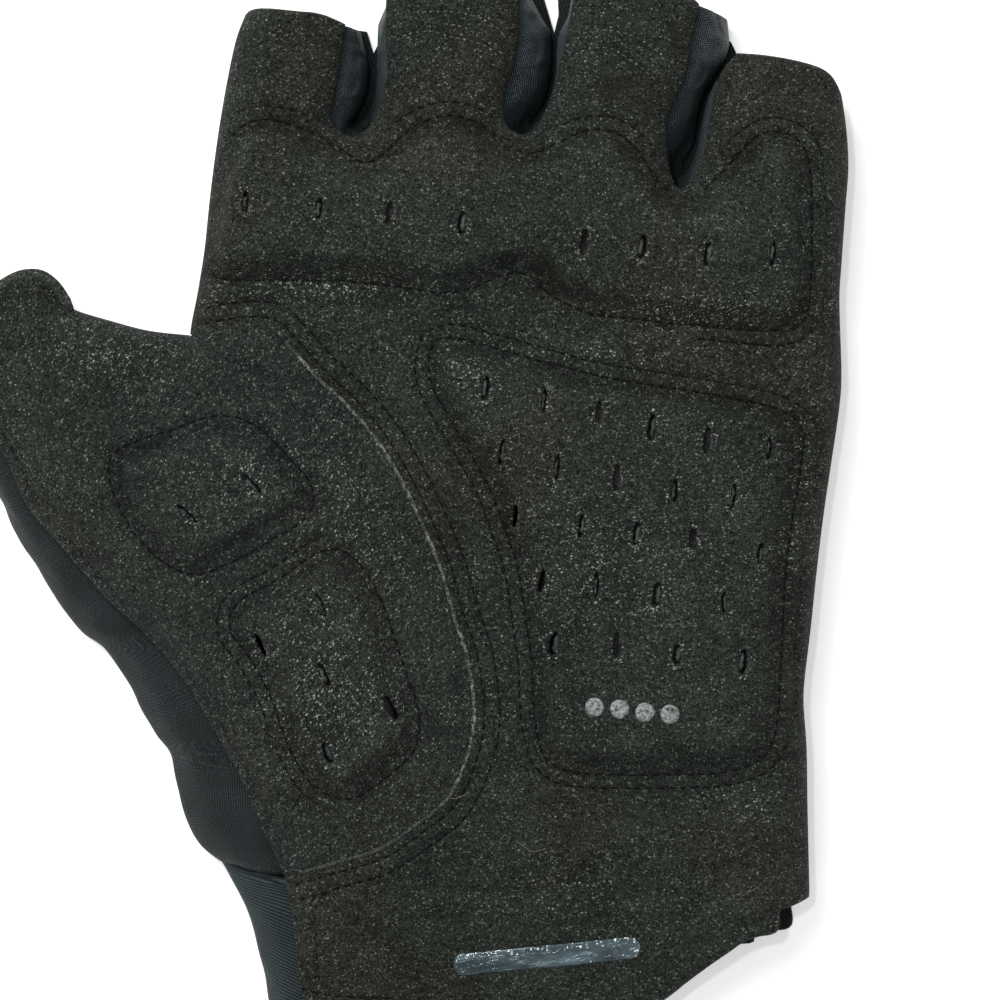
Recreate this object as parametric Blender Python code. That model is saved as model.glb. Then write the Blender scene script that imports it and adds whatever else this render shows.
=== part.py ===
"""Half-finger cycling glove for the left hand, lying palm up.

Frame: metres, +Z up out of the palm, +Y towards the fingertips, thumb on -X.
The outlines, pads and slits are given in pixels of the reference photo, 1000
across (x to the right, y down from its top left corner); everything else is in
millimetres. Every fabric piece is a thin sheet given its wall by a Solidify modifier; the four gel pads are closed lenses under the
suede. The shell is hollow and open at the wrist, the four fingers and the
thumb.
"""
import math

import bmesh
import bpy
import numpy as np
from mathutils import Vector
from mathutils.geometry import delaunay_2d_cdt

for ob in list(bpy.data.objects):
    bpy.data.objects.remove(ob)

MM = 0.001
UNIT = 0.1538             # one pixel of the photo, mm
GRID_X0, GRID_Y0 = 401.5, 511.0     # the photo's pixel over the origin

# driving sizes, mm
WALL_SUEDE = 1.1          # suede with its backing
WALL_KNIT = 0.9           # back of the hand
WALL_GUSSET = 0.8         # strips between the fingers
WALL_TWILL = 0.9          # side and back of the cuff
GAP = 0.3                 # between neighbouring pieces
PAD_RAISE = 2.3           # how far a pad lifts the suede
PAD_EDGE = 3.2            # width of a pad's sloping rim
SLIT_LONG = 3.9
SLIT_WIDE = 0.95
SLIT_LEAN = math.radians(8.0)
FLOOR_Z = WALL_KNIT / 2.0

# height of the suede's middle surface along the hand, mm: y, height
CROWN = (
    (-84.0, 9.6), (-70.0, 10.6), (-58.0, 12.4), (-40.0, 14.4), (-15.0, 15.0),
    (8.0, 14.6), (24.0, 13.4), (31.0, 13.2), (42.0, 14.4), (56.0, 14.2),
    (70.0, 13.4), (86.0, 12.6),
)
# how the suede comes down at its edges: kind, edge height, width, round
ROLL = {
    "side": (7.9, 7.0, True),
    "gusset": (11.0, 4.6, False),
    "outer": (9.4, 8.5, False),
    "cuff": (8.2, 6.0, False),
}
# folds and hollows of the suede: x0, y0, x1, y1, half width, depth (+ down)
FOLDS = (
    (-24.0, 33.5, 20.0, 32.0, 3.4, 1.5),
    (20.0, 32.0, 66.0, 26.5, 3.4, 1.5),
    (-27.0, 28.0, 34.0, 27.0, 2.2, 0.7),
    (22.0, 35.5, 27.0, 41.0, 2.6, 0.9),
    (8.0, 40.0, 18.0, 37.0, 3.0, 0.7),
    (-52.0, 30.0, -30.0, 12.0, 4.0, 0.8),
    (-60.0, 22.0, -44.0, 5.0, 3.0, 0.5),
    (-14.0, -42.0, 4.0, -10.0, 3.6, 0.8),
    (-30.0, -60.0, 40.0, -58.0, 4.5, 0.7),
    (-38.0, -12.0, -18.0, -14.0, 3.0, 0.7),
)

# Edge tables. Columns: x, y of the cloth edge at each section, photo pixels.
INDEX_SIDE = (
    (247, 13), (236, 45), (223, 113), (213, 184), (206, 249), (199, 293), (194, 318),
    (191, 338),
)
INDEX_TIP = (
    (247, 13), (257, 10), (288, 13), (319, 16), (343, 25),
)
GUSSET_IM_TOP = (
    (343, 25), (337, 62), (332, 95), (328, 116), (335, 131), (353, 139), (371, 128),
    (383, 104), (389, 76), (388, 50), (388, 20), (389, -14),
)
GUSSET_IM_LOW = (
    (367, 31), (366, 60), (363, 86), (355, 108), (349, 118), (354, 123), (361, 118),
    (370, 104), (376, 84), (378, 55), (379, 20), (384, -12),
)
MIDDLE_TIP = (
    (389, -14), (404, -20), (452, -24), (502, -20), (516, -13),
)
GUSSET_MR_TOP = (
    (516, -13), (516, 25), (512, 62), (503, 88), (501, 112), (507, 129), (524, 137),
    (540, 127), (552, 100), (561, 68), (569, 34), (577, -9),
)
GUSSET_MR_LOW = (
    (539, -12), (545, 12), (550, 36), (549, 70), (543, 96), (530, 115), (530, 121),
    (538, 117), (551, 98), (558, 72), (560, 38), (569, -10),
)
RING_TIP = (
    (577, -9), (598, -16), (636, -18), (678, -10), (697, 4),
)
GUSSET_RL_TOP = (
    (697, 4), (690, 36), (683, 74), (673, 98), (665, 118), (664, 146), (668, 172),
    (677, 190), (692, 184), (704, 160), (711, 128), (718, 88), (727, 68), (739, 55),
)
GUSSET_RL_LOW = (
    (728, 16), (729, 44), (716, 68), (704, 90), (698, 115), (694, 138), (685, 158),
    (683, 172), (691, 168), (701, 145), (706, 118), (712, 94), (722, 76), (739, 58),
)
LITTLE_TIP = (
    (739, 55), (765, 58), (798, 64), (826, 74), (840, 92),
)
LITTLE_SIDE = (
    (840, 92), (845, 128), (847, 165), (844, 207), (840, 264), (838, 300), (840, 372),
    (838, 406), (830, 461), (822, 515), (815, 573), (809, 630), (803, 680), (802, 706),
    (805, 750), (806, 812), (808, 898),
)
CUFF_END = (
    (808, 898), (790, 905), (778, 910), (776, 930), (757, 935), (742, 941), (728, 951),
    (704, 968), (662, 1000), (624, 1026), (590, 1036), (500, 1040), (400, 1040),
    (303, 1036),
)
CUFF_LEFT = (
    (303, 1036), (302, 994), (298, 952), (293, 912), (286, 878),
)
THENAR_SEAM = (
    (286, 878), (326, 865), (379, 849), (415, 825), (445, 801), (463, 769), (473, 732),
    (474, 700), (467, 654), (455, 619), (441, 569), (423, 525), (402, 481), (379, 443),
    (349, 407), (319, 379), (289, 346), (271, 329), (246, 327), (218, 331), (191, 338),
)
THUMB_INNER = (
    (191, 338), (147, 333), (108, 323), (70, 311), (58, 298),
)
THUMB_TIP = (
    (58, 298), (50, 284), (32, 276), (12, 280), (-14, 298), (-34, 326), (-44, 360),
    (-43, 392),
)
THUMB_OUTER = (
    (-43, 392), (-22, 424), (0, 448), (28, 505), (51, 533), (84, 571), (110, 600),
    (149, 636), (178, 670), (201, 705), (224, 745), (244, 782), (260, 820), (273, 848),
    (286, 878),
)
BACK_LEFT = (
    (-43, 392), (-30, 436), (0, 502), (15, 533), (38, 569), (59, 602), (84, 632),
    (106, 650), (132, 688), (155, 731), (170, 754), (177, 790), (187, 822), (200, 845),
    (223, 861),
)
TWILL_LEFT = (
    (224, 864.5), (244, 903), (256, 940), (264, 975), (270, 1010), (276, 1036),
)
TWILL_END = (
    (276, 1040), (400, 1046), (520, 1046), (612, 1038), (668, 1004), (704, 974), (736, 951),
    (756, 947), (758, 936), (793, 932), (794, 906), (806, 898),
)
# Pad tables. Columns: station, near edge, far edge across the pad, photo pixels.
FINGER_PAD = (   # stations along x
    (217, 240, 262), (226, 186, 267), (240, 147, 268), (262, 132, 268), (300, 141, 268),
    (334, 160, 268), (366, 177, 271), (396, 160, 274), (420, 137, 278), (450, 128, 281),
    (475, 136, 274), (500, 156, 263), (530, 167, 262), (560, 156, 286), (592, 142, 301),
    (620, 150, 305), (645, 185, 308), (672, 209, 311), (704, 206, 314), (732, 180, 317),
    (758, 150, 319), (780, 145, 320), (797, 170, 300),
)
HEEL_PAD = (   # stations along y
    (350, 442, 455), (362, 441, 500), (376, 441, 548), (390, 447, 606), (404, 455, 695),
    (416, 462, 758), (430, 471, 789), (450, 482, 789), (482, 500, 786), (524, 516, 778),
    (568, 530, 773), (615, 537, 770), (657, 543, 768), (713, 546, 765), (740, 551, 760),
    (753, 557, 746), (761, 585, 705),
)
THUMB_PAD_UPPER = (   # stations along x
    (124, 463, 474), (134, 459, 502), (150, 452, 528), (172, 446, 549), (196, 437, 560),
    (218, 431, 552), (240, 434, 542), (262, 450, 528), (284, 474, 516), (298, 490, 506),
)
THUMB_PAD_LOWER = (   # stations along x
    (244, 616, 628), (256, 606, 642), (270, 599, 664), (285, 591, 694), (300, 581, 737),
    (318, 568, 770), (335, 562, 783), (350, 573, 785), (365, 596, 776), (380, 636, 765),
    (394, 678, 753), (405, 710, 738),
)
# Slit tables. Columns: x, y of the slit's centre, photo pixels.
FINGER_SLITS = (
    (247, 203), (320, 210), (390, 214), (462, 224), (584, 243), (642, 248), (707, 255),
    (772, 255),
)
HEEL_SLITS = (
    (486, 389), (544, 401), (599, 413), (651, 428), (706, 441), (768, 449), (502, 452),
    (557, 467), (616, 478), (674, 491), (732, 497), (516, 516), (581, 526), (636, 533),
    (692, 539), (759, 553), (542, 581), (596, 585), (656, 594), (723, 602), (554, 643),
    (616, 644), (676, 654), (742, 661),
)
THUMB_UPPER_SLITS = (
    (253, 484), (189, 514),
)
THUMB_LOWER_SLITS = (
    (322, 605), (262, 644), (325, 674), (391, 707), (328, 752),
)


def pattern(rows):
    """Photo pixels to millimetres, with y up."""
    return [((x - GRID_X0) * UNIT, (GRID_Y0 - y) * UNIT) for x, y in rows]


def smooth(rows, step):
    """Round a table of edge stations into an even chain of points."""
    p = [np.array(r, float) for r in rows]
    p = [2 * p[0] - p[1]] + p + [2 * p[-1] - p[-2]]
    fine = []
    for i in range(1, len(p) - 2):
        for k in range(16):
            t = k / 16.0
            a, b, c, d = p[i - 1], p[i], p[i + 1], p[i + 2]
            fine.append(0.5 * (2 * b + (c - a) * t + (2 * a - 5 * b + 4 * c - d) * t * t
                               + (3 * b - a - 3 * c + d) * t ** 3))
    fine.append(p[-2])
    fine = np.array(fine)
    run = np.r_[0, np.cumsum(np.linalg.norm(np.diff(fine, axis=0), axis=1))]
    n = max(2, int(round(run[-1] / step)) + 1)
    at = np.linspace(0, run[-1], n)
    return np.c_[np.interp(at, run, fine[:, 0]), np.interp(at, run, fine[:, 1])]


def chain(*parts):
    out = [parts[0]]
    for q in parts[1:]:
        out.append(q[1:] if np.linalg.norm(q[0] - out[-1][-1]) < 0.05 else q)
    out = np.vstack(out)
    if np.linalg.norm(out[0] - out[-1]) < 0.05:
        out = out[:-1]
    return out


def pad_outline(rows, along, step):
    """Close a pad's table of sections into its outline."""
    if along == "x":
        near = [(s, a) for s, a, b in rows]
        far = [(s, b) for s, a, b in rows][::-1]
    else:
        near = [(a, s) for s, a, b in rows]
        far = [(b, s) for s, a, b in rows][::-1]
    return smooth(pattern(near + far + [near[0]]), step)[:-1]


def seg_dist(pts, line, closed=False):
    """Distance of each point from a chain."""
    a = np.asarray(line)
    b = np.roll(a, -1, axis=0) if closed else a[1:]
    if not closed:
        a = a[:-1]
    out = np.full(len(pts), 1e9)
    for s in range(0, len(pts), 4000):
        p = pts[s:s + 4000, None, :]
        ab = (b - a)[None]
        t = np.clip(((p - a[None]) * ab).sum(2) / np.maximum((ab ** 2).sum(2), 1e-12), 0, 1)
        out[s:s + 4000] = np.sqrt((((a[None] + t[..., None] * ab) - p) ** 2).sum(2)).min(1)
    return out


def inside(pts, ring):
    x, y = pts[:, 0], pts[:, 1]
    r = np.asarray(ring)
    q = np.roll(r, -1, axis=0)
    hit = np.zeros(len(pts), bool)
    for (x0, y0), (x1, y1) in zip(r, q):
        if y0 == y1:
            continue
        c = ((y0 > y) != (y1 > y)) & (x < (x1 - x0) * (y - y0) / (y1 - y0) + x0)
        hit ^= c
    return hit


def area(ring):
    r = np.asarray(ring)
    q = np.roll(r, -1, axis=0)
    return 0.5 * float((r[:, 0] * q[:, 1] - q[:, 0] * r[:, 1]).sum())


def inset(line, dist, closed):
    """Move a chain sideways to its left by dist."""
    r = np.asarray(line)
    if closed:
        t = np.roll(r, -1, axis=0) - np.roll(r, 1, axis=0)
    else:
        t = np.gradient(r, axis=0)
    t /= np.maximum(np.linalg.norm(t, axis=1), 1e-9)[:, None]
    return r + dist * np.c_[-t[:, 1], t[:, 0]]


# the chains that every piece shares, at the CAD step
STEP = 4.8
E = {name: smooth(pattern(rows), step) for name, rows, step in (
    ("index_side", INDEX_SIDE, STEP), ("index_tip", INDEX_TIP, STEP),
    ("im_top", GUSSET_IM_TOP, 2.6), ("im_low", GUSSET_IM_LOW, 2.6),
    ("middle_tip", MIDDLE_TIP, STEP),
    ("mr_top", GUSSET_MR_TOP, 2.6), ("mr_low", GUSSET_MR_LOW, 2.6),
    ("ring_tip", RING_TIP, STEP),
    ("rl_top", GUSSET_RL_TOP, 2.6), ("rl_low", GUSSET_RL_LOW, 2.6),
    ("little_tip", LITTLE_TIP, STEP), ("little_side", LITTLE_SIDE, STEP),
    ("cuff_end", CUFF_END, 3.0), ("cuff_left", CUFF_LEFT, STEP),
    ("thenar", THENAR_SEAM, STEP), ("thumb_inner", THUMB_INNER, STEP),
    ("thumb_tip", THUMB_TIP, STEP), ("thumb_outer", THUMB_OUTER, STEP),
    ("back_left", BACK_LEFT, STEP), ("twill_left", TWILL_LEFT, STEP),
    ("twill_end", TWILL_END, 3.0),
)}
PADS = {
    "finger_pad": pad_outline(FINGER_PAD, "x", 4.2),
    "heel_pad": pad_outline(HEEL_PAD, "y", 4.6),
    "thumb_pad_upper": pad_outline(THUMB_PAD_UPPER, "x", 3.2),
    "thumb_pad_lower": pad_outline(THUMB_PAD_LOWER, "x", 3.2),
}
EDGES = (
    ("side", (E["index_side"],)), ("side", (E["thumb_inner"],)),
    ("side", (E["little_side"],)),
    ("gusset", (E["im_top"],)), ("gusset", (E["mr_top"],)), ("gusset", (E["rl_top"],)),
    ("outer", (E["thumb_outer"],)), ("cuff", (E["cuff_left"],)),
)


def ease(t):
    t = np.clip(t, 0, 1)
    return t * t * (3 - 2 * t)


def base_height(pts):
    """Middle surface of the suede without the pads, mm."""
    y = pts[:, 1]
    h = np.interp(y, [r[0] for r in CROWN], [r[1] for r in CROWN])
    # the thumb lies a little lower towards its tip
    h = h - 2.6 * ease((-34.0 - pts[:, 0]) / 34.0) * ease((y + 20.0) / 30.0)
    z = h.copy()
    for kind, lines in EDGES:
        low, wide, is_round = ROLL[kind]
        for line in lines:
            d = np.clip(seg_dist(pts, line) / wide, 0, 1)
            drop = (1 - np.sqrt(np.maximum(0, 1 - (1 - d) ** 2))) if is_round else (1 - d) ** 2
            z = np.minimum(z, h - np.maximum(h - low, 0) * drop)
    rim = np.full(len(pts), 1e9)
    for kind, lines in EDGES:
        for line in lines:
            rim = np.minimum(rim, seg_dist(pts, line))
    fade = ease((rim - 0.8) / 6.0)
    for x0, y0, x1, y1, half, deep in FOLDS:
        d = seg_dist(pts, np.array(((x0, y0), (x1, y1))))
        z = z - fade * deep * np.exp(-(d / half) ** 2)
    return z


def pad_lift(pts, name, grow=0.0):
    ring = PADS[name]
    d = seg_dist(pts, ring, closed=True)
    d = np.where(inside(pts, ring), d, -d) + grow
    return PAD_RAISE * ease(d / PAD_EDGE)


def suede_height(pts):
    z = base_height(pts)
    for name in PADS:
        z = z + pad_lift(pts, name)
    return z


def slits(rows, lean):
    """Slit outlines as six-cornered holes."""
    out = []
    for x, y in pattern(rows):
        along = np.array((math.sin(lean), math.cos(lean)))
        across = np.array((along[1], -along[0]))
        c = np.array((x, y))
        h, w = SLIT_LONG / 2, SLIT_WIDE / 2
        out.append(np.array([c + along * h, c + along * h * 0.6 - across * w,
                             c - along * h * 0.6 - across * w, c - along * h,
                             c - along * h * 0.6 + across * w, c + along * h * 0.6 + across * w]))
    return out


def fill(outer, holes, extra, spacing):
    """Triangulate the plan of a sheet: outline, holes, guide points, even grid."""
    outer = np.asarray(outer)
    if area(outer) < 0:
        outer = outer[::-1]
    x0, y0 = outer.min(0)
    x1, y1 = outer.max(0)
    grid = []
    dy = spacing * math.sqrt(3) / 2
    for j in range(int((y1 - y0) / dy) + 1):
        for i in range(int((x1 - x0) / spacing) + 2):
            grid.append((x0 + (i + 0.5 * (j % 2)) * spacing, y0 + (j + 0.5) * dy))
    grid = np.array(grid)
    grid = grid[inside(grid, outer)]
    grid = grid[seg_dist(grid, outer, True) > spacing * 0.45]
    keep = [outer]
    for h in holes:
        keep.append(h)
    used = [e for e in extra if len(e)]
    if used:
        e = np.vstack(used)
        e = e[inside(e, outer)]
        e = e[seg_dist(e, outer, True) > 0.35]
        for h in holes:
            e = e[seg_dist(e, h, True) > 0.9]
            e = e[~inside(e, h)]
        # thin the guide points among themselves
        pick = []
        for p in e:
            if all((p[0] - q[0]) ** 2 + (p[1] - q[1]) ** 2 > 1.1 for q in pick):
                pick.append(p)
        e = np.array(pick)
        g2 = []
        for p in grid:
            if ((e - p) ** 2).sum(1).min() > (spacing * 0.55) ** 2:
                g2.append(p)
        grid = np.array(g2) if g2 else np.zeros((0, 2))
        keep.append(e)
    for h in holes:
        if len(grid):
            grid = grid[(seg_dist(grid, h, True) > spacing * 0.4) & ~inside(grid, h)]
    n = len(outer)
    pts = np.vstack(keep + [grid])
    edges = [(i, (i + 1) % n) for i in range(n)]
    at = n
    for h in holes:
        m = len(h)
        edges += [(at + i, at + (i + 1) % m) for i in range(m)]
        at += m
    v, _, f, _, _, _ = delaunay_2d_cdt([Vector((float(a), float(b))) for a, b in pts],
                                       edges, [], 0, 1e-5)
    v = np.array([(a.x, a.y) for a in v])
    f = np.array([list(t) for t in f if len(t) == 3])
    mid = v[f].mean(1)
    ok = inside(mid, outer)
    for h in holes:
        ok &= ~inside(mid, h)
    a = v[f[:, 0]]
    b = v[f[:, 1]]
    c = v[f[:, 2]]
    ar = (b[:, 0] - a[:, 0]) * (c[:, 1] - a[:, 1]) - (b[:, 1] - a[:, 1]) * (c[:, 0] - a[:, 0])
    f[ar < 0] = f[ar < 0][:, ::-1]
    f = f[ok & (np.abs(ar) > 1e-4)]
    used = np.unique(f)
    back = np.full(len(v), -1)
    back[used] = np.arange(len(used))
    return v[used], back[f]


def material(name, colour, rough, sheen=0.0, metal=0.0):
    m = bpy.data.materials.new(name)
    m.use_nodes = True
    b = m.node_tree.nodes["Principled BSDF"]
    b.inputs["Base Color"].default_value = (*colour, 1.0)
    b.inputs["Roughness"].default_value = rough
    b.inputs["Metallic"].default_value = metal
    b.inputs["Sheen Weight"].default_value = sheen
    return m


def add(name, verts, faces, mat, wall=0.0):
    me = bpy.data.meshes.new(name)
    me.from_pydata([tuple(float(c) * MM for c in v) for v in verts], [],
                   [tuple(int(i) for i in f) for f in faces])
    me.validate()
    for p in me.polygons:
        p.use_smooth = True
    me.materials.append(mat)
    ob = bpy.data.objects.new(name, me)
    bpy.context.scene.collection.objects.link(ob)
    if wall:
        mod = ob.modifiers.new("wall", "SOLIDIFY")
        mod.thickness = wall * MM
        mod.offset = 0.0
        mod.use_even_offset = False
        mod.use_rim = True
    return ob


SUEDE = material("suede_palm", (0.030, 0.034, 0.027), 0.9, 0.3)
SUEDE_THUMB = material("suede_thumb", (0.032, 0.038, 0.031), 0.9, 0.3)
KNIT = material("knit_back", (0.022, 0.032, 0.033), 0.6, 0.2)
RIB = material("rib_gusset", (0.017, 0.028, 0.031), 0.5, 0.2)
TWILL = material("twill_cuff", (0.030, 0.042, 0.046), 0.55, 0.2)
GEL = material("gel_pad", (0.035, 0.055, 0.060), 0.35)


# ---------------------------------------------------------------- suede fronts
def sheet_piece(name, ring, holes, guides, spacing, height, mat, wall):
    v, f = fill(ring, holes, guides, spacing)
    z = height(v)
    return add(name, np.c_[v, z], f, mat, wall)


def rings_of(line, offsets, closed=False):
    return [inset(line, o, closed) for o in offsets]


front_ring = chain(E["index_side"][::-1][1:], E["index_tip"], E["im_top"], E["middle_tip"],
                   E["mr_top"], E["ring_tip"], E["rl_top"], E["little_tip"],
                   E["little_side"], E["cuff_end"], E["cuff_left"][:-1],
                   inset(E["thenar"], -0.5 * (GAP + 0.1), False))
guides = []
for key in ("index_side", "little_side", "thumb_inner"):
    for d in (0.6, 2.4):
        guides += [inset(E[key], d, False), inset(E[key], -d, False)]
for key in ("im_top", "mr_top", "rl_top"):
    guides += [inset(E[key], 1.9, False), inset(E[key], -1.9, False)]
guides += [inset(E["thumb_outer"], 2.4, False), inset(E["thumb_outer"], -2.4, False)]
for name, ring in PADS.items():
    turn = 1.0 if area(ring) > 0 else -1.0
    guides += [ring, inset(ring, turn * PAD_EDGE * 0.85, True)]

palm_holes = slits(FINGER_SLITS, SLIT_LEAN) + slits(HEEL_SLITS, SLIT_LEAN)
thumb_holes = slits(THUMB_UPPER_SLITS, -0.75) + slits(THUMB_LOWER_SLITS, -0.45)
palm = sheet_piece("palm_panel", front_ring, palm_holes, guides, 6.4, suede_height,
                   SUEDE, WALL_SUEDE)

thumb_ring = chain(inset(E["thenar"], 0.5 * (GAP + 0.1), False), E["thumb_inner"][1:], E["thumb_tip"],
                   E["thumb_outer"][:-1])
thumb = sheet_piece("thumb_panel", thumb_ring, thumb_holes, guides, 6.4, suede_height,
                    SUEDE_THUMB, WALL_SUEDE)


# ------------------------------------------------------------------- gel pads
def gel_pad(name):
    turn = 1.0 if area(PADS[name]) > 0 else -1.0
    ring = inset(PADS[name], turn * 0.7, True)
    deep = inset(PADS[name], turn * PAD_EDGE * 0.9, True)
    v, f = fill(ring, [], [deep], 7.0)
    e = 0.2
    def under(p):
        return suede_height(p)
    z = under(v)
    gx = (under(v + (e, 0)) - under(v - (e, 0))) / (2 * e)
    gy = (under(v + (0, e)) - under(v - (0, e))) / (2 * e)
    steep = np.sqrt(1 + gx ** 2 + gy ** 2)
    top = z - (WALL_SUEDE / 2 + GAP) * np.minimum(steep, 2.6) - 0.5
    low = base_height(v) - WALL_SUEDE / 2 - GAP - 0.6
    low = np.minimum(low, top - 0.45)
    n = len(v)
    verts = np.vstack([np.c_[v, top], np.c_[v, low]])
    faces = [tuple(t) for t in f] + [tuple(t[::-1] + n) for t in f]
    # the rim joins the two skins
    count = {}
    for t in f:
        for a, b in ((t[0], t[1]), (t[1], t[2]), (t[2], t[0])):
            count[(a, b)] = 1
    for a, b in count:
        if (b, a) not in count:
            faces.append((b, a, a + n))
            faces.append((b, a + n, b + n))
    return add(name, verts, faces, GEL)


for name in PADS:
    gel_pad(name)


# -------------------------------------------------------------------- gussets
def gusset(name, top, low, rows=3):
    """A strip between two fingers, from the suede's edge down to the back."""
    n = 22
    def even(line):
        run = np.r_[0, np.cumsum(np.linalg.norm(np.diff(line, axis=0), axis=1))]
        at = np.linspace(0, run[-1], n)
        return np.c_[np.interp(at, run, line[:, 0]), np.interp(at, run, line[:, 1])]
    t = even(smooth(pattern(top), 0.8))
    b = even(smooth(pattern(low), 0.8))
    # tuck the upper edge under the suede
    t = inset(t, -0.45, False)
    zt = base_height(t) - WALL_SUEDE / 2 - GAP - 0.55
    zb = np.full(n, WALL_KNIT + GAP + 0.15)
    verts, faces = [], []
    for k in range(rows + 1):
        s = k / rows
        p = t * (1 - s) + b * s
        z = zt * (1 - s) + zb * s + 1.1 * math.sin(math.pi * s)
        verts += [(p[i, 0], p[i, 1], z[i]) for i in range(n)]
    for k in range(rows):
        for i in range(n - 1):
            a = k * n + i
            faces += [(a, a + n, a + n + 1), (a, a + n + 1, a + 1)]
    return add(name, verts, faces, RIB, WALL_GUSSET)


gusset("gusset_index_middle", GUSSET_IM_TOP, GUSSET_IM_LOW)
gusset("gusset_middle_ring", GUSSET_MR_TOP, GUSSET_MR_LOW)
gusset("gusset_ring_little", GUSSET_RL_TOP, GUSSET_RL_LOW)


# ------------------------------------------------------------ back of the hand
def strip(verts, faces, start, rows):
    """Grow a strip of cloth from boundary points: rows of points outwards."""
    last = list(start)
    for row in rows:
        new = list(range(len(verts), len(verts) + len(row)))
        verts.extend(row)
        for i in range(len(last) - 1):
            a, b, c, d = last[i], last[i + 1], new[i + 1], new[i]
            faces.append((a, d, c))
            faces.append((a, c, b))
        last = new
    return last


def find(v, p):
    return int(((v[:, :2] - p) ** 2).sum(1).argmin())


def rolled(name, ring, sides, spacing, mat, wall):
    """Flat base on the floor with its named sides rolled up.

    sides: (base chain, rows) where rows lists the chains above it with heights.
    """
    v, f = fill(ring, [], [], spacing)
    verts = [(a, b, FLOOR_Z) for a, b in v]
    faces = [tuple(t) for t in f]
    for base, rows in sides:
        idx = [find(v, p) for p in base]
        strip(verts, faces, idx, [[(p[0], p[1], z) for p, z in zip(line, zs)] for line, zs in rows])
    return add(name, verts, faces, mat, wall)


def even(line, n):
    line = np.asarray(line)
    run = np.r_[0, np.cumsum(np.linalg.norm(np.diff(line, axis=0), axis=1))]
    at = np.linspace(0, run[-1], n)
    return np.c_[np.interp(at, run, line[:, 0]), np.interp(at, run, line[:, 1])]


HALF = WALL_KNIT / 2
TOP_BACK = ROLL["side"][0] - GAP - 0.05


def side_rows(line, turn):
    """A side that stands up from the floor to the suede's edge."""
    n = len(line)
    return (inset(line, turn * 2.7, False), [
        (inset(line, turn * 1.3, False), np.full(n, 0.95)),
        (inset(line, turn * 0.62, False), np.full(n, 2.3)),
        (inset(line, turn * 0.5, False), np.full(n, 4.8)),
        (inset(line, turn * 0.35, False), np.full(n, TOP_BACK)),
    ])


# walking the outline anticlockwise seen from above: the inside is on the left
def cut_above(line, y):
    """The part of an upward chain above the level y, starting on it."""
    keep = line[line[:, 1] > y + 0.6]
    x = np.interp(y, line[:, 1], line[:, 0])
    return np.vstack([(x, y), keep])


def cut_below(line, y):
    keep = line[line[:, 1] < y - 0.6]
    x = np.interp(y, line[:, 1], line[:, 0])
    return np.vstack([keep, (x, y)])


SEAM_Y = -53.9                              # knit meets twill across the back
little_up = E["little_side"][::-1]          # cuff to fingertip
little_back = cut_above(little_up, SEAM_Y)
little_cuff = cut_below(little_up, SEAM_Y - 0.45)
index_down = E["index_side"]                # fingertip to crotch
inner_out = E["thumb_inner"]                # crotch to thumb tip
rb, rrows = side_rows(little_back, 1.0)
hand_side = chain(index_down, inner_out)
hb, hrows = side_rows(hand_side, 1.0)

n_left = 27
sil = even(E["back_left"], n_left)          # silhouette, thumb tip to cuff
sue = even(E["thumb_outer"], n_left)
lb = inset(sil, 3.4, False)
zsue = base_height(sue) - WALL_SUEDE / 2 - GAP - HALF - 0.35
lrows = [
    (inset(sil, 1.5, False), np.full(n_left, 0.85)),
    (inset(sil, HALF, False), np.full(n_left, 3.3)),
    (sil * 0.68 + sue * 0.32, zsue * 0.68 + 1.3),
    (sil * 0.30 + sue * 0.70, zsue * 0.93 + 0.2),
    (inset(sue, 0.6, False), zsue),
]
tip_in = even(np.array([hb[-1], lb[0]]), 6)[1:-1]
thumb_tip_line = inset(E["thumb_tip"], 1.0, False)[1:-1]
back_ring = chain(
    lb, np.array([(-14.0, SEAM_Y), (0.0, SEAM_Y), (30.0, SEAM_Y), (50.0, SEAM_Y)]),
    rb, inset(E["little_tip"][::-1], 0.4, False)[1:-1],
    smooth(pattern(GUSSET_RL_LOW), 2.6)[::-1],
    E["ring_tip"][::-1][1:-1],
    smooth(pattern(GUSSET_MR_LOW), 2.6)[::-1],
    E["middle_tip"][::-1][1:-1],
    smooth(pattern(GUSSET_IM_LOW), 2.6)[::-1],
    E["index_tip"][::-1][1:-1],
    hb, thumb_tip_line)
rolled("back_panel", back_ring, [(rb, rrows), (hb, hrows), (lb, lrows)], 8.0, KNIT, WALL_KNIT)


# ------------------------------------------------------------ back of the cuff
n_cl = 9
tw = even(E["twill_left"], n_cl)            # silhouette, seam to hem
cl = even(E["cuff_left"][::-1], n_cl)
cl[0] = (-17.6, -57.2)
tb = inset(tw, 3.2, False)
zcl = base_height(cl) - WALL_SUEDE / 2 - GAP - WALL_TWILL / 2 - 0.3
trows = [
    (inset(tw, 1.5, False), np.full(n_cl, 0.85)),
    (inset(tw, 0.45, False), np.full(n_cl, 3.0)),
    (tw * 0.55 + cl * 0.45, zcl * 0.72 + 0.9),
    (inset(cl, 0.5, False), zcl),
]
cb, crows = side_rows(little_cuff, 1.0)
y_top = SEAM_Y - 0.45
cuff_ring = chain(tb, E["twill_end"][1:-1], cb,
                  np.array([(50.0, y_top), (30.0, y_top), (0.0, y_top), (-14.0, y_top)]))
rolled("cuff_side", cuff_ring, [(tb, trows), (cb, crows)], 8.0, TWILL, WALL_TWILL)
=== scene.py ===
import math

import bpy
import numpy as np
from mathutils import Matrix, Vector
from mathutils.geometry import delaunay_2d_cdt


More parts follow.
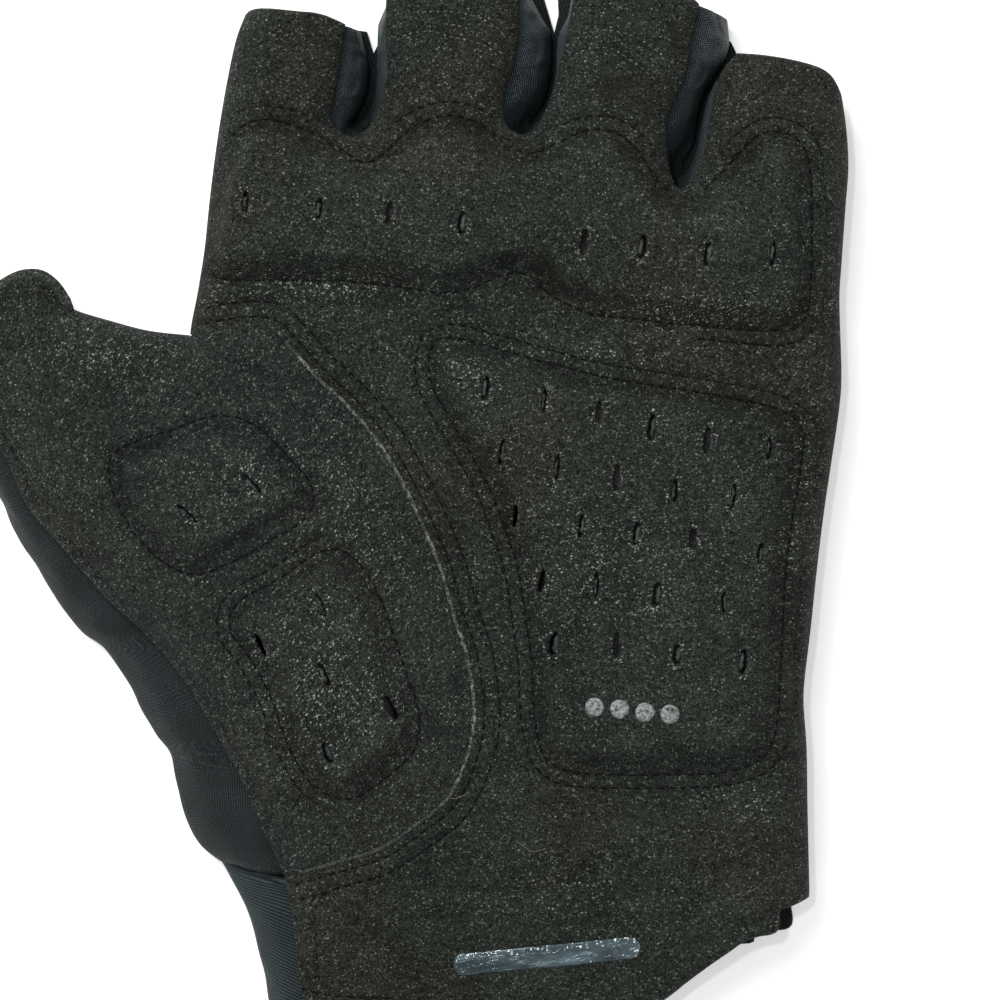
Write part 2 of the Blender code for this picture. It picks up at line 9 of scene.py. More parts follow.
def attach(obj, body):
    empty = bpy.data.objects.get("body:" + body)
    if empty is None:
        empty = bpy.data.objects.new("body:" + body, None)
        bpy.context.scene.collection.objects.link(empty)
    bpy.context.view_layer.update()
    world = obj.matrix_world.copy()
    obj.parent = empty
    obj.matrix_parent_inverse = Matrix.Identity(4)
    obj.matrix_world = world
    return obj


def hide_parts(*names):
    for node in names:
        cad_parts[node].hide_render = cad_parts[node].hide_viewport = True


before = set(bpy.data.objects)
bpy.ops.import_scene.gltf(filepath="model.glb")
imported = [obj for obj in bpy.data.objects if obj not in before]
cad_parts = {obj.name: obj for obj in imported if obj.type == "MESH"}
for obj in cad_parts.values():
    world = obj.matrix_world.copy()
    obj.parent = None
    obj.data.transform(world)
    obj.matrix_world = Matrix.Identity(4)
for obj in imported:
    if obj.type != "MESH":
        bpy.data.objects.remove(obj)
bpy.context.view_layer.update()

MM = 0.001
UNIT = 0.1538             # one pixel of the photo, mm
GRID_X0, GRID_Y0 = 401.5, 511.0
FINE = 1.0

WALL_SUEDE = 1.0
WALL_KNIT = 0.8
WALL_GUSSET = 0.7
WALL_TWILL = 0.8
PAD_RAISE = 2.3
PAD_EDGE = 2.2
SLIT_LONG = 4.2
SLIT_WIDE = 1.5
FLOOR_Z = 0.45

# height of the suede's middle surface along the hand, mm: y, height
CROWN = (
    (-84.0, 9.6), (-70.0, 10.6), (-58.0, 12.4), (-40.0, 14.4), (-15.0, 15.0),
    (8.0, 14.6), (24.0, 13.4), (31.0, 13.2), (42.0, 14.4), (56.0, 14.2),
    (70.0, 13.4), (86.0, 12.6),
)
# how the suede comes down at its edges: kind, edge height, width, round
ROLL = {
    "side": (7.9, 7.0, True),
    "gusset": (11.0, 4.6, False),
    "outer": (9.4, 8.5, False),
    "cuff": (8.2, 6.0, False),
}
# folds and hollows of the suede, mm: x0, y0, x1, y1, half width, depth (+ down)
FOLDS = (
    (-24.0, 33.5, 20.0, 32.0, 3.4, 1.5),
    (20.0, 32.0, 66.0, 26.5, 3.4, 1.5),
    (-27.0, 28.0, 34.0, 27.0, 2.2, 0.7),
    (22.0, 35.5, 27.0, 41.0, 2.6, 0.9),
    (8.0, 40.0, 18.0, 37.0, 3.0, 0.7),
    (-52.0, 30.0, -30.0, 12.0, 4.0, 0.8),
    (-60.0, 22.0, -44.0, 5.0, 3.0, 0.5),
    (-14.0, -42.0, 4.0, -10.0, 3.6, 0.8),
    (-30.0, -60.0, 40.0, -58.0, 4.5, 0.7),
    (-38.0, -12.0, -18.0, -14.0, 3.0, 0.7),
)
# sharp small creases, mm: x0, y0, x1, y1, half width, depth
CREASES = (
    (-30.0, 35.5, -4.0, 34.8, 0.7, 0.35),
    (-28.0, 32.2, 6.0, 31.0, 0.8, 0.45),
    (6.0, 31.2, 36.0, 29.4, 0.8, 0.5),
    (21.0, 22.6, 36.0, 21.6, 0.9, 0.6),
    (34.0, 21.8, 58.0, 18.0, 0.8, 0.35),
    (36.0, 29.0, 66.0, 27.4, 0.9, 0.45),
    (12.0, 36.2, 20.0, 40.5, 0.8, 0.5),
    (20.5, 40.0, 25.0, 35.5, 0.8, 0.55),
    (-22.0, 47.0, -10.0, 55.0, 0.9, 0.2),
    (-44.0, 26.0, -30.0, 20.0, 0.8, 0.25),
    (-50.0, 14.0, -42.0, 4.0, 0.8, 0.25),
    (-18.0, -43.0, -6.0, -50.0, 0.9, 0.3),
    (12.0, -46.0, 44.0, -44.0, 1.0, 0.25),
    (-8.0, -57.0, 30.0, -58.5, 1.1, 0.3),
    (58.0, -8.0, 61.0, -34.0, 0.9, 0.3),
)

# Edge tables. Columns: x, y of the cloth edge at each section, photo pixels.
INDEX_SIDE = (
    (247, 13), (236, 45), (223, 113), (213, 184), (206, 249), (199, 293), (194, 318),
    (191, 338),
)
INDEX_TIP = (
    (247, 13), (257, 10), (288, 13), (319, 16), (343, 25),
)
GUSSET_IM_TOP = (
    (343, 25), (337, 62), (332, 95), (328, 116), (335, 131), (353, 139), (371, 128),
    (383, 104), (389, 76), (388, 50), (388, 20), (389, -14),
)
GUSSET_IM_LOW = (
    (367, 31), (366, 60), (363, 86), (355, 108), (349, 118), (354, 123), (361, 118),
    (370, 104), (376, 84), (378, 55), (379, 20), (384, -12),
)
MIDDLE_TIP = (
    (389, -14), (404, -20), (452, -24), (502, -20), (516, -13),
)
GUSSET_MR_TOP = (
    (516, -13), (516, 25), (512, 62), (503, 88), (501, 112), (507, 129), (524, 137),
    (540, 127), (552, 100), (561, 68), (569, 34), (577, -9),
)
GUSSET_MR_LOW = (
    (539, -12), (545, 12), (550, 36), (549, 70), (543, 96), (530, 115), (530, 121),
    (538, 117), (551, 98), (558, 72), (560, 38), (569, -10),
)
RING_TIP = (
    (577, -9), (598, -16), (636, -18), (678, -10), (697, 4),
)
GUSSET_RL_TOP = (
    (697, 4), (690, 36), (683, 74), (673, 98), (665, 118), (664, 146), (668, 172),
    (677, 190), (692, 184), (704, 160), (711, 128), (718, 88), (727, 68), (739, 55),
)
GUSSET_RL_LOW = (
    (728, 16), (729, 44), (716, 68), (704, 90), (698, 115), (694, 138), (685, 158),
    (683, 172), (691, 168), (701, 145), (706, 118), (712, 94), (722, 76), (739, 58),
)
LITTLE_TIP = (
    (739, 55), (765, 58), (798, 64), (826, 74), (840, 92),
)
LITTLE_SIDE = (
    (840, 92), (845, 128), (847, 165), (844, 207), (840, 264), (838, 300), (840, 372),
    (838, 406), (830, 461), (822, 515), (815, 573), (809, 630), (803, 680), (802, 706),
    (805, 750), (806, 812), (808, 898),
)
CUFF_END = (
    (808, 898), (790, 905), (778, 910), (776, 930), (757, 935), (742, 941), (728, 951),
    (704, 968), (662, 1000), (624, 1026), (590, 1036), (500, 1040), (400, 1040),
    (303, 1036),
)
CUFF_LEFT = (
    (303, 1036), (302, 994), (298, 952), (293, 912), (286, 878),
)
THENAR_SEAM = (
    (286, 878), (326, 865), (379, 849), (415, 825), (445, 801), (463, 769), (473, 732),
    (474, 700), (467, 654), (455, 619), (441, 569), (423, 525), (402, 481), (379, 443),
    (349, 407), (319, 379), (289, 346), (271, 329), (246, 327), (218, 331), (191, 338),
)
THUMB_INNER = (
    (191, 338), (147, 333), (108, 323), (70, 311), (58, 298),
)
THUMB_TIP = (
    (58, 298), (50, 284), (32, 276), (12, 280), (-14, 298), (-34, 326), (-44, 360),
    (-43, 392),
)
THUMB_OUTER = (
    (-43, 392), (-22, 424), (0, 448), (28, 505), (51, 533), (84, 571), (110, 600),
    (149, 636), (178, 670), (201, 705), (224, 745), (244, 782), (260, 820), (273, 848),
    (286, 878),
)
BACK_LEFT = (
    (-43, 392), (-30, 436), (0, 502), (15, 533), (38, 569), (59, 602), (84, 632),
    (106, 650), (132, 688), (155, 731), (170, 754), (177, 790), (187, 822), (200, 845),
    (223, 861),
)
TWILL_LEFT = (
    (224, 864.5), (244, 903), (256, 940), (264, 975), (270, 1010), (276, 1036),
)
TWILL_END = (
    (276, 1040), (400, 1046), (520, 1046), (612, 1038), (668, 1004), (704, 974), (736, 951),
    (756, 947), (758, 936), (793, 932), (794, 906), (806, 898),
)
# Pad tables. Columns: station, near edge, far edge across the pad, photo pixels.
FINGER_PAD = (   # stations along x
    (217, 240, 262), (226, 186, 267), (240, 147, 268), (262, 132, 268), (300, 141, 268),
    (334, 160, 268), (366, 177, 271), (396, 160, 274), (420, 137, 278), (450, 128, 281),
    (475, 136, 274), (500, 156, 263), (530, 167, 262), (560, 156, 286), (592, 142, 301),
    (620, 150, 305), (645, 185, 308), (672, 209, 311), (704, 206, 314), (732, 180, 317),
    (758, 150, 319), (780, 145, 320), (797, 170, 300),
)
HEEL_PAD = (   # stations along y
    (350, 442, 455), (362, 441, 500), (376, 441, 548), (390, 447, 606), (404, 455, 695),
    (416, 462, 758), (430, 471, 789), (450, 482, 789), (482, 500, 786), (524, 516, 778),
    (568, 530, 773), (615, 537, 770), (657, 543, 768), (713, 546, 765), (740, 551, 760),
    (753, 557, 746), (761, 585, 705),
)
THUMB_PAD_UPPER = (   # stations along x
    (124, 463, 474), (134, 459, 502), (150, 452, 528), (172, 446, 549), (196, 437, 560),
    (218, 431, 552), (240, 434, 542), (262, 450, 528), (284, 474, 516), (298, 490, 506),
)
THUMB_PAD_LOWER = (   # stations along x
    (244, 616, 628), (256, 606, 642), (270, 599, 664), (285, 591, 694), (300, 581, 737),
    (318, 568, 770), (335, 562, 783), (350, 573, 785), (365, 596, 776), (380, 636, 765),
    (394, 678, 753), (405, 710, 738),
)
# Slit tables. Columns: x, y of the slit's centre, photo pixels.
FINGER_SLITS = (
    (247, 203), (320, 210), (390, 214), (462, 224), (584, 243), (642, 248), (707, 255),
    (772, 255),
)
HEEL_SLITS = (
    (486, 389), (544, 401), (599, 413), (651, 428), (706, 441), (768, 449), (502, 452),
    (557, 467), (616, 478), (674, 491), (732, 497), (516, 516), (581, 526), (636, 533),
    (692, 539), (759, 553), (542, 581), (596, 585), (656, 594), (723, 602), (554, 643),
    (616, 644), (676, 654), (742, 661),
)
THUMB_UPPER_SLITS = (
    (253, 484), (189, 514),
)
THUMB_LOWER_SLITS = (
    (322, 605), (262, 644), (325, 674), (391, 707), (328, 752),
)


# ------------------------------------------------------------------ plan tools
def pattern(rows):
    return [((x - GRID_X0) * UNIT, (GRID_Y0 - y) * UNIT) for x, y in rows]


def smooth(rows, step):
    p = [np.array(r, float) for r in rows]
    p = [2 * p[0] - p[1]] + p + [2 * p[-1] - p[-2]]
    fine = []
    for i in range(1, len(p) - 2):
        for k in range(24):
            t = k / 24.0
            a, b, c, d = p[i - 1], p[i], p[i + 1], p[i + 2]
            fine.append(0.5 * (2 * b + (c - a) * t + (2 * a - 5 * b + 4 * c - d) * t * t
                               + (3 * b - a - 3 * c + d) * t ** 3))
    fine.append(p[-2])
    fine = np.array(fine)
    run = np.r_[0, np.cumsum(np.linalg.norm(np.diff(fine, axis=0), axis=1))]
    n = max(2, int(round(run[-1] / step)) + 1)
    at = np.linspace(0, run[-1], n)
    return np.c_[np.interp(at, run, fine[:, 0]), np.interp(at, run, fine[:, 1])]


def even(line, n):
    line = np.asarray(line)
    run = np.r_[0, np.cumsum(np.linalg.norm(np.diff(line, axis=0), axis=1))]
    at = np.linspace(0, run[-1], n)
    return np.c_[np.interp(at, run, line[:, 0]), np.interp(at, run, line[:, 1])]


def length(line):
    return float(np.linalg.norm(np.diff(line, axis=0), axis=1).sum())


def chain(*parts):
    out = [parts[0]]
    for q in parts[1:]:
        out.append(q[1:] if np.linalg.norm(q[0] - out[-1][-1]) < 0.04 else q)
    out = np.vstack(out)
    if np.linalg.norm(out[0] - out[-1]) < 0.04:
        out = out[:-1]
    return out


def pad_outline(rows, along, step):
    if along == "x":
        near = [(s, a) for s, a, b in rows]
        far = [(s, b) for s, a, b in rows][::-1]
    else:
        near = [(a, s) for s, a, b in rows]
        far = [(b, s) for s, a, b in rows][::-1]
    return smooth(pattern(near + far + [near[0]]), step)[:-1]


def seg_dist(pts, line, closed=False, within=12.0):
    """Distance of each point from a chain, exact within a band."""
    pts = np.asarray(pts)
    a = np.asarray(line)
    b = np.roll(a, -1, axis=0) if closed else a[1:]
    if not closed:
        a = a[:-1]
    out = np.full(len(pts), within)
    lo, hi = a.min(0) - within, a.max(0) + within
    near = np.where((pts > lo).all(1) & (pts < hi).all(1))[0]
    ab = b - a
    ll = np.maximum((ab ** 2).sum(1), 1e-12)
    for s in range(0, len(near), 6000):
        k = near[s:s + 6000]
        px, py = pts[k, 0][:, None], pts[k, 1][:, None]
        t = np.clip(((px - a[:, 0]) * ab[:, 0] + (py - a[:, 1]) * ab[:, 1]) / ll, 0, 1)
        d = (a[:, 0] + t * ab[:, 0] - px) ** 2 + (a[:, 1] + t * ab[:, 1] - py) ** 2
        out[k] = np.minimum(within, np.sqrt(d.min(1)))
    return out


def inside(pts, ring):
    x, y = pts[:, 0], pts[:, 1]
    r = np.asarray(ring)
    q = np.roll(r, -1, axis=0)
    hit = np.zeros(len(pts), bool)
    for (x0, y0), (x1, y1) in zip(r, q):
        if y0 == y1:
            continue
        band = np.where((y0 > y) != (y1 > y))[0]
        hit[band] ^= x[band] < (x1 - x0) * (y[band] - y0) / (y1 - y0) + x0
    return hit


def area(ring):
    r = np.asarray(ring)
    q = np.roll(r, -1, axis=0)
    return 0.5 * float((r[:, 0] * q[:, 1] - q[:, 0] * r[:, 1]).sum())


def inset(line, dist, closed=False):
    """Move a chain to its left by dist."""
    r = np.asarray(line, float)
    if closed:
        t = np.roll(r, -1, axis=0) - np.roll(r, 1, axis=0)
    else:
        t = np.gradient(r, axis=0)
    t /= np.maximum(np.linalg.norm(t, axis=1), 1e-9)[:, None]
    return r + dist * np.c_[-t[:, 1], t[:, 0]]


def outset_ring(ring, dist, step=0.6):
    """A smooth ring dist outside a closed outline, loops taken out."""
    turn = -1.0 if area(ring) > 0 else 1.0
    r = inset(ring, turn * dist, True)
    keep = seg_dist(r, ring, True, 20.0) > abs(dist) * 0.93
    r = r[keep]
    r = np.vstack([r, r[:1]])
    r = even(r, max(8, int(length(r) / step)))
    for _ in range(3):
        m = r[:-1]
        m = 0.5 * m + 0.25 * (np.roll(m, 1, axis=0) + np.roll(m, -1, axis=0))
        r = np.vstack([m, m[:1]])
    return r


def ease(t):
    t = np.clip(t, 0, 1)
    return t * t * (3 - 2 * t)


def hash01(i, k=0):
    """A fixed scatter value for piece i."""
    v = np.sin(np.asarray(i) * 12.9898 + k * 78.233) * 43758.5453
    return v - np.floor(v)


def waves(pts, size, seed, n=14, stretch=(1.0, 1.0)):
    """Gentle unevenness about size mm across, between about -1 and 1."""
    out = np.zeros(len(pts))
    for i in range(n):
        ang = 2 * math.pi * hash01(i + 1, seed)
        k = 2 * math.pi / (size * (0.6 + 1.1 * hash01(i + 5, seed + 3)))
        ph = 2 * math.pi * hash01(i + 9, seed + 7)
        out += np.sin(k * (pts[:, 0] * math.cos(ang) / stretch[0]
                           + pts[:, 1] * math.sin(ang) / stretch[1]) + ph)
    return out / math.sqrt(n) / 1.2


STEP = 0.8 * FINE
E = {name: smooth(pattern(rows), step) for name, rows, step in (
    ("index_side", INDEX_SIDE, STEP), ("index_tip", INDEX_TIP, STEP),
    ("im_top", GUSSET_IM_TOP, 0.6), ("im_low", GUSSET_IM_LOW, 0.6),
    ("middle_tip", MIDDLE_TIP, STEP),
    ("mr_top", GUSSET_MR_TOP, 0.6), ("mr_low", GUSSET_MR_LOW, 0.6),
    ("ring_tip", RING_TIP, STEP),
    ("rl_top", GUSSET_RL_TOP, 0.6), ("rl_low", GUSSET_RL_LOW, 0.6),
    ("little_tip", LITTLE_TIP, STEP), ("little_side", LITTLE_SIDE, STEP),
    ("cuff_end", CUFF_END, 0.6), ("cuff_left", CUFF_LEFT, STEP),
    ("thenar", THENAR_SEAM, STEP), ("thumb_inner", THUMB_INNER, STEP),
    ("thumb_tip", THUMB_TIP, 0.6), ("thumb_outer", THUMB_OUTER, STEP),
    ("back_left", BACK_LEFT, STEP), ("twill_left", TWILL_LEFT, STEP),
    ("twill_end", TWILL_END, 0.6),
)}
PADS = {
    "finger_pad": pad_outline(FINGER_PAD, "x", 0.9),
    "heel_pad": pad_outline(HEEL_PAD, "y", 0.9),
    "thumb_pad_upper": pad_outline(THUMB_PAD_UPPER, "x", 0.8),
    "thumb_pad_lower": pad_outline(THUMB_PAD_LOWER, "x", 0.8),
}
EDGES = (
    ("side", E["index_side"]), ("side", E["thumb_inner"]), ("side", E["little_side"]),
    ("gusset", E["im_top"]), ("gusset", E["mr_top"]), ("gusset", E["rl_top"]),
    ("outer", E["thumb_outer"]), ("cuff", E["cuff_left"]),
)
OPEN_ENDS = (E["index_tip"], E["middle_tip"], E["ring_tip"], E["little_tip"],
             E["cuff_end"], E["thumb_tip"])

# ------------------------------------------------------------------ stitch rows
ROWS = []          # (chain, pitch, groove depth)


def row(line, pitch=1.75, deep=0.28):
    if len(line) > 2:
        ROWS.append((line, pitch, deep))


# the rows across the middle and ring fingers, which hold the turned-in hems
HEM_ROWS = (
    ((414, 13), (436, 12), (457, 13), (478, 18), (495, 27), (505, 36)),
    ((396, 42), (402, 37), (415, 33), (432, 32), (449, 37), (467, 41), (484, 46), (495, 54), (502, 63)),
    ((443, 24), (464, 28), (480, 38), (494, 47), (503, 55)),
    ((594, 30), (617, 32), (636, 38), (655, 50), (664, 57)),
    ((569, 62), (577, 54), (592, 49), (610, 49), (625, 57), (642, 69), (656, 81)),
)
for table in HEM_ROWS:
    row(smooth(pattern(table), 0.5), 1.05, 0.30)


def clip_row(line, keep):
    """Cut a chain into the runs where keep is true."""
    runs, cur = [], []
    for p, k in zip(line, keep):
        if k:
            cur.append(p)
        elif cur:
            runs.append(np.array(cur))
            cur = []
    if cur:
        runs.append(np.array(cur))
    return [r for r in runs if len(r) > 6]


front_ring = chain(E["index_side"][::-1][1:], E["index_tip"], E["im_top"], E["middle_tip"],
                   E["mr_top"], E["ring_tip"], E["rl_top"], E["little_tip"],
                   E["little_side"], E["cuff_end"], E["cuff_left"][:-1], E["thenar"][:-1])
thumb_ring = chain(E["thenar"], E["thumb_inner"], E["thumb_tip"], E["thumb_outer"][:-1])

for name, dists in (("heel_pad", (1.9, 3.9)), ("finger_pad", (1.9, 3.9)),
                    ("thumb_pad_upper", (2.3,)), ("thumb_pad_lower", (2.1, 4.0))):
    for d in dists:
        ring = outset_ring(PADS[name], d)
        host = thumb_ring if name.startswith("thumb") else front_ring
        ok = inside(ring, host) & (seg_dist(ring, host, True) > 1.1)
        if name == "finger_pad":
            # the outer row runs only round the outer corner and the finger roots
            if d > 3:
                ok &= (ring[:, 0] > 45.0) | (ring[:, 1] > 50.0)
        if name == "thumb_pad_lower" and d > 3:
            ok &= ring[:, 0] < -12.0
        for run in clip_row(ring, ok):
            row(run)
for d in (1.55, 3.9):
    line = inset(E["thenar"], -d)
    ok = inside(line, front_ring) & (seg_dist(line, front_ring, True) > 0.9)
    for p in PADS.values():
        ok &= ~inside(line, p)
    for run in clip_row(line, ok):
        row(run)
row(smooth(pattern(((331, 895), (318, 896), (313, 903), (316, 930), (317, 958), (319, 985))), 0.6))
row(smooth(pattern(((299, 990), (319, 995), (351, 998), (392, 999))), 0.6))
row(inset(E["thumb_outer"], 1.5)[4:-6], 1.9, 0.18)

STITCHED = [(r, d) for r, p, d in ROWS]


# ------------------------------------------------------------------- heights
def base_height(pts):
    y = pts[:, 1]
    h = np.interp(y, [r[0] for r in CROWN], [r[1] for r in CROWN])
    h = h - 2.6 * ease((-34.0 - pts[:, 0]) / 34.0) * ease((y + 20.0) / 30.0)
    z = h.copy()
    rim = np.full(len(pts), 12.0)
    for kind, line in EDGES:
        low, wide, is_round = ROLL[kind]
        far = seg_dist(pts, line)
        rim = np.minimum(rim, far)
        d = np.clip(far / wide, 0, 1)
        drop = (1 - np.sqrt(np.maximum(0, 1 - (1 - d) ** 2))) if is_round else (1 - d) ** 2
        z = np.minimum(z, h - np.maximum(h - low, 0) * drop)
    fade = ease((rim - 0.8) / 6.0)
    for x0, y0, x1, y1, half, deep in FOLDS:
        d = seg_dist(pts, np.array(((x0, y0), (x1, y1))))
        z = z - fade * deep * np.exp(-(d / half) ** 2)
    return z


def pad_lift(pts, name, rise=PAD_EDGE):
    ring = PADS[name]
    d = seg_dist(pts, ring, closed=True)
    d = np.where(inside(pts, ring), d, -d)
    return PAD_RAISE * (0.88 * ease(d / rise) + 0.12 * ease(d / 9.0)), d


def suede_height(pts, detail=True):
    z = base_height(pts)
    on_pad = np.zeros(len(pts))
    for name in PADS:
        lift, d = pad_lift(pts, name)
        z = z + lift
        on_pad = np.maximum(on_pad, ease(d / 2.0))
        # the stitching pulls the cloth down just outside a pad
        z = z - 0.30 * np.exp(-((d + 0.8) / 0.9) ** 2)
    if not detail:
        return z
    rim = np.full(len(pts), 12.0)
    for kind, line in EDGES:
        rim = np.minimum(rim, seg_dist(pts, line))
    fade = ease(rim / 2.5)
    soft = 1.0 - 0.65 * on_pad
    z = z + fade * soft * (0.32 * waves(pts, 17.0, 1, stretch=(1.5, 1.0))
                           + 0.13 * waves(pts, 6.5, 2, stretch=(1.4, 1.0)))
    z = z + fade * 0.035 * waves(pts, 2.6, 3, 18)
    for x0, y0, x1, y1, half, deep in CREASES:
        mid = np.array(((x0, y0), ((x0 + x1) / 2, (y0 + y1) / 2 + 0.6 * math.sin(x0)), (x1, y1)))
        line = smooth(mid, 1.0)
        d = seg_dist(pts, line, within=6.0)
        run = np.linalg.norm(np.array((x1 - x0, y1 - y0)))
        ends = np.minimum(np.hypot(pts[:, 0] - x0, pts[:, 1] - y0),
                          np.hypot(pts[:, 0] - x1, pts[:, 1] - y1))
        z = z - deep * np.exp(-(d / half) ** 2) * ease((ends + 1.0) / (0.25 * run)) * fade
        z = z + 0.4 * deep * np.exp(-((d - 2.0 * half) / half) ** 2) * fade * ease(ends / (0.25 * run))
    for line, deep in STITCHED:
        d = seg_dist(pts, line, within=4.0)
        z = z - deep * np.exp(-(d / 0.55) ** 2) + 0.10 * np.exp(-((d - 1.3) / 0.6) ** 2)
    for line in OPEN_ENDS:
        d = seg_dist(pts, line, within=3.0) / 1.3
        z = z - 0.75 * (1 - np.sqrt(np.maximum(0, 1 - (1 - np.clip(d, 0, 1)) ** 2)))
    for s in SLITS:
        d = seg_dist(pts, s, True, within=2.0)
        z = z - 0.34 * np.exp(-(d / 0.5) ** 2) * (d < 1.9)
    return z


def slit_ring(x, y, lean, i):
    """A stretched slot with round ends, a little uneven."""
    lean = lean + 0.16 * (hash01(i, 1) - 0.5)
    h = SLIT_LONG / 2 * (0.86 + 0.26 * hash01(i, 2))
    w = SLIT_WIDE / 2 * (0.84 + 0.36 * hash01(i, 3))
    along = np.array((math.sin(lean), math.cos(lean)))
    across = np.array((along[1], -along[0]))
    out = []
    for k in range(14):
        t = 2 * math.pi * k / 14
        c, s = math.cos(t), math.sin(t)
        a = h * np.sign(c) * abs(c) ** 0.75
        b = w * np.sign(s) * abs(s) ** 0.8 * (1 + 0.12 * math.sin(5 * t + i))
        out.append(np.array((x, y)) + along * a + across * b)
    return np.array(out)


SLITS_PALM = [slit_ring(x, y, math.radians(6.0), i)
              for i, (x, y) in enumerate(pattern(FINGER_SLITS + HEEL_SLITS))]
SLITS_THUMB = ([slit_ring(x, y, -0.8, 60 + i) for i, (x, y) in enumerate(pattern(THUMB_UPPER_SLITS))]
               + [slit_ring(x, y, -0.42, 70 + i) for i, (x, y) in enumerate(pattern(THUMB_LOWER_SLITS))])
SLITS = SLITS_PALM + SLITS_THUMB


# ---------------------------------------------------------------- mesh tools
def thin(pts, cell):
    key = np.floor(pts / cell).astype(np.int64)
    _, first = np.unique(key[:, 0] * 100003 + key[:, 1], return_index=True)
    return pts[np.sort(first)]


def fill(outer, holes, extra, spacing, clear=0.4):
    """Triangulate a plan: outline, holes, guide points and an even grid."""
    outer = np.asarray(outer)
    if area(outer) < 0:
        outer = outer[::-1]
    (x0, y0), (x1, y1) = outer.min(0), outer.max(0)
    dy = spacing * math.sqrt(3) / 2
    j, i = np.meshgrid(np.arange(int((y1 - y0) / dy) + 1), np.arange(int((x1 - x0) / spacing) + 2),
                       indexing="ij")
    grid = np.c_[(x0 + (i + 0.5 * (j % 2)) * spacing).ravel(), (y0 + (j + 0.5) * dy).ravel()]
    grid = grid[inside(grid, outer)]
    grid = grid[seg_dist(grid, outer, True, 2.0) > spacing * 0.5]
    keep = [outer] + list(holes)
    if extra:
        e = thin(np.vstack(extra), 0.32)
        e = e[inside(e, outer)]
        e = e[seg_dist(e, outer, True, 2.0) > 0.14]
        for h in holes:
            e = e[(seg_dist(e, h, True, 2.0) > 0.25) & ~inside(e, h)]
        # grid points give way to guide points
        from mathutils.kdtree import KDTree
        tree = KDTree(len(e))
        for n, p in enumerate(e):
            tree.insert((p[0], p[1], 0.0), n)
        tree.balance()
        grid = np.array([p for p in grid if tree.find((p[0], p[1], 0.0))[2] > spacing * 0.5])
        keep.append(e)
    for h in holes:
        grid = grid[(seg_dist(grid, h, True, 2.0) > spacing * 0.4) & ~inside(grid, h)]
    n = len(outer)
    pts = np.vstack(keep + [grid])
    edges = [(k, (k + 1) % n) for k in range(n)]
    at = n
    for h in holes:
        m = len(h)
        edges += [(at + k, at + (k + 1) % m) for k in range(m)]
        at += m
    v, _, f, _, _, _ = delaunay_2d_cdt([Vector((float(a), float(b))) for a, b in pts],
                                       edges, [], 0, 1e-5)
    v = np.array([(a.x, a.y) for a in v])
    f = np.array([list(t) for t in f if len(t) == 3])
    mid = v[f].mean(1)
    ok = inside(mid, outer)
    for h in holes:
        ok &= ~inside(mid, h)
    a, b, c = v[f[:, 0]], v[f[:, 1]], v[f[:, 2]]
    ar = (b[:, 0] - a[:, 0]) * (c[:, 1] - a[:, 1]) - (b[:, 1] - a[:, 1]) * (c[:, 0] - a[:, 0])
    f[ar < 0] = f[ar < 0][:, ::-1]
    f = f[ok & (np.abs(ar) > 1e-5)]
    used = np.unique(f)
    back = np.full(len(v), -1)
    back[used] = np.arange(len(used))
    return v[used], back[f]


def vertex_normals(v, f):
    a, b, c = v[f[:, 0]], v[f[:, 1]], v[f[:, 2]]
    n = np.cross(b - a, c - a)
    out = np.zeros_like(v)
    for k in range(3):
        np.add.at(out, f[:, k], n)
    return out / np.maximum(np.linalg.norm(out, axis=1), 1e-12)[:, None]


def borders(f):
    """Directed edges that only one face uses."""
    e = np.vstack([f[:, [0, 1]], f[:, [1, 2]], f[:, [2, 0]]])
    big = int(f.max()) + 1
    key = e[:, 0].astype(np.int64) * big + e[:, 1]
    rev = e[:, 1].astype(np.int64) * big + e[:, 0]
    return e[~np.isin(key, rev)]


def wall(v, f, thick, edge_round=0.22):
    """Give a sheet its thickness, with a rounded rim."""
    n = vertex_normals(v, f)
    m = len(v)
    top, low = v + n * thick / 2, v - n * thick / 2
    e = borders(f)
    rim_of = {}
    out_dir = np.zeros_like(v)
    d = v[e[:, 1]] - v[e[:, 0]]
    side = np.cross(d, n[e[:, 0]])
    side /= np.maximum(np.linalg.norm(side, axis=1), 1e-12)[:, None]
    np.add.at(out_dir, e[:, 0], side)
    np.add.at(out_dir, e[:, 1], side)
    ids = np.unique(e)
    o = out_dir[ids]
    o /= np.maximum(np.linalg.norm(o, axis=1), 1e-12)[:, None]
    rim = v[ids] + o * edge_round
    where = np.full(m, -1)
    where[ids] = np.arange(len(ids)) + 2 * m
    verts = np.vstack([top, low, rim])
    a, b = e[:, 0], e[:, 1]
    ra, rb = where[a], where[b]
    faces = np.vstack([f, f[:, ::-1] + m,
                       np.c_[b, a, ra], np.c_[b, ra, rb],
                       np.c_[rb, ra, a + m], np.c_[rb, a + m, b + m]])
    source = np.r_[np.arange(m), np.arange(m), ids]
    layer = np.r_[np.zeros(m), np.ones(m), np.full(len(ids), 0.5)]
    return verts, faces, source, layer


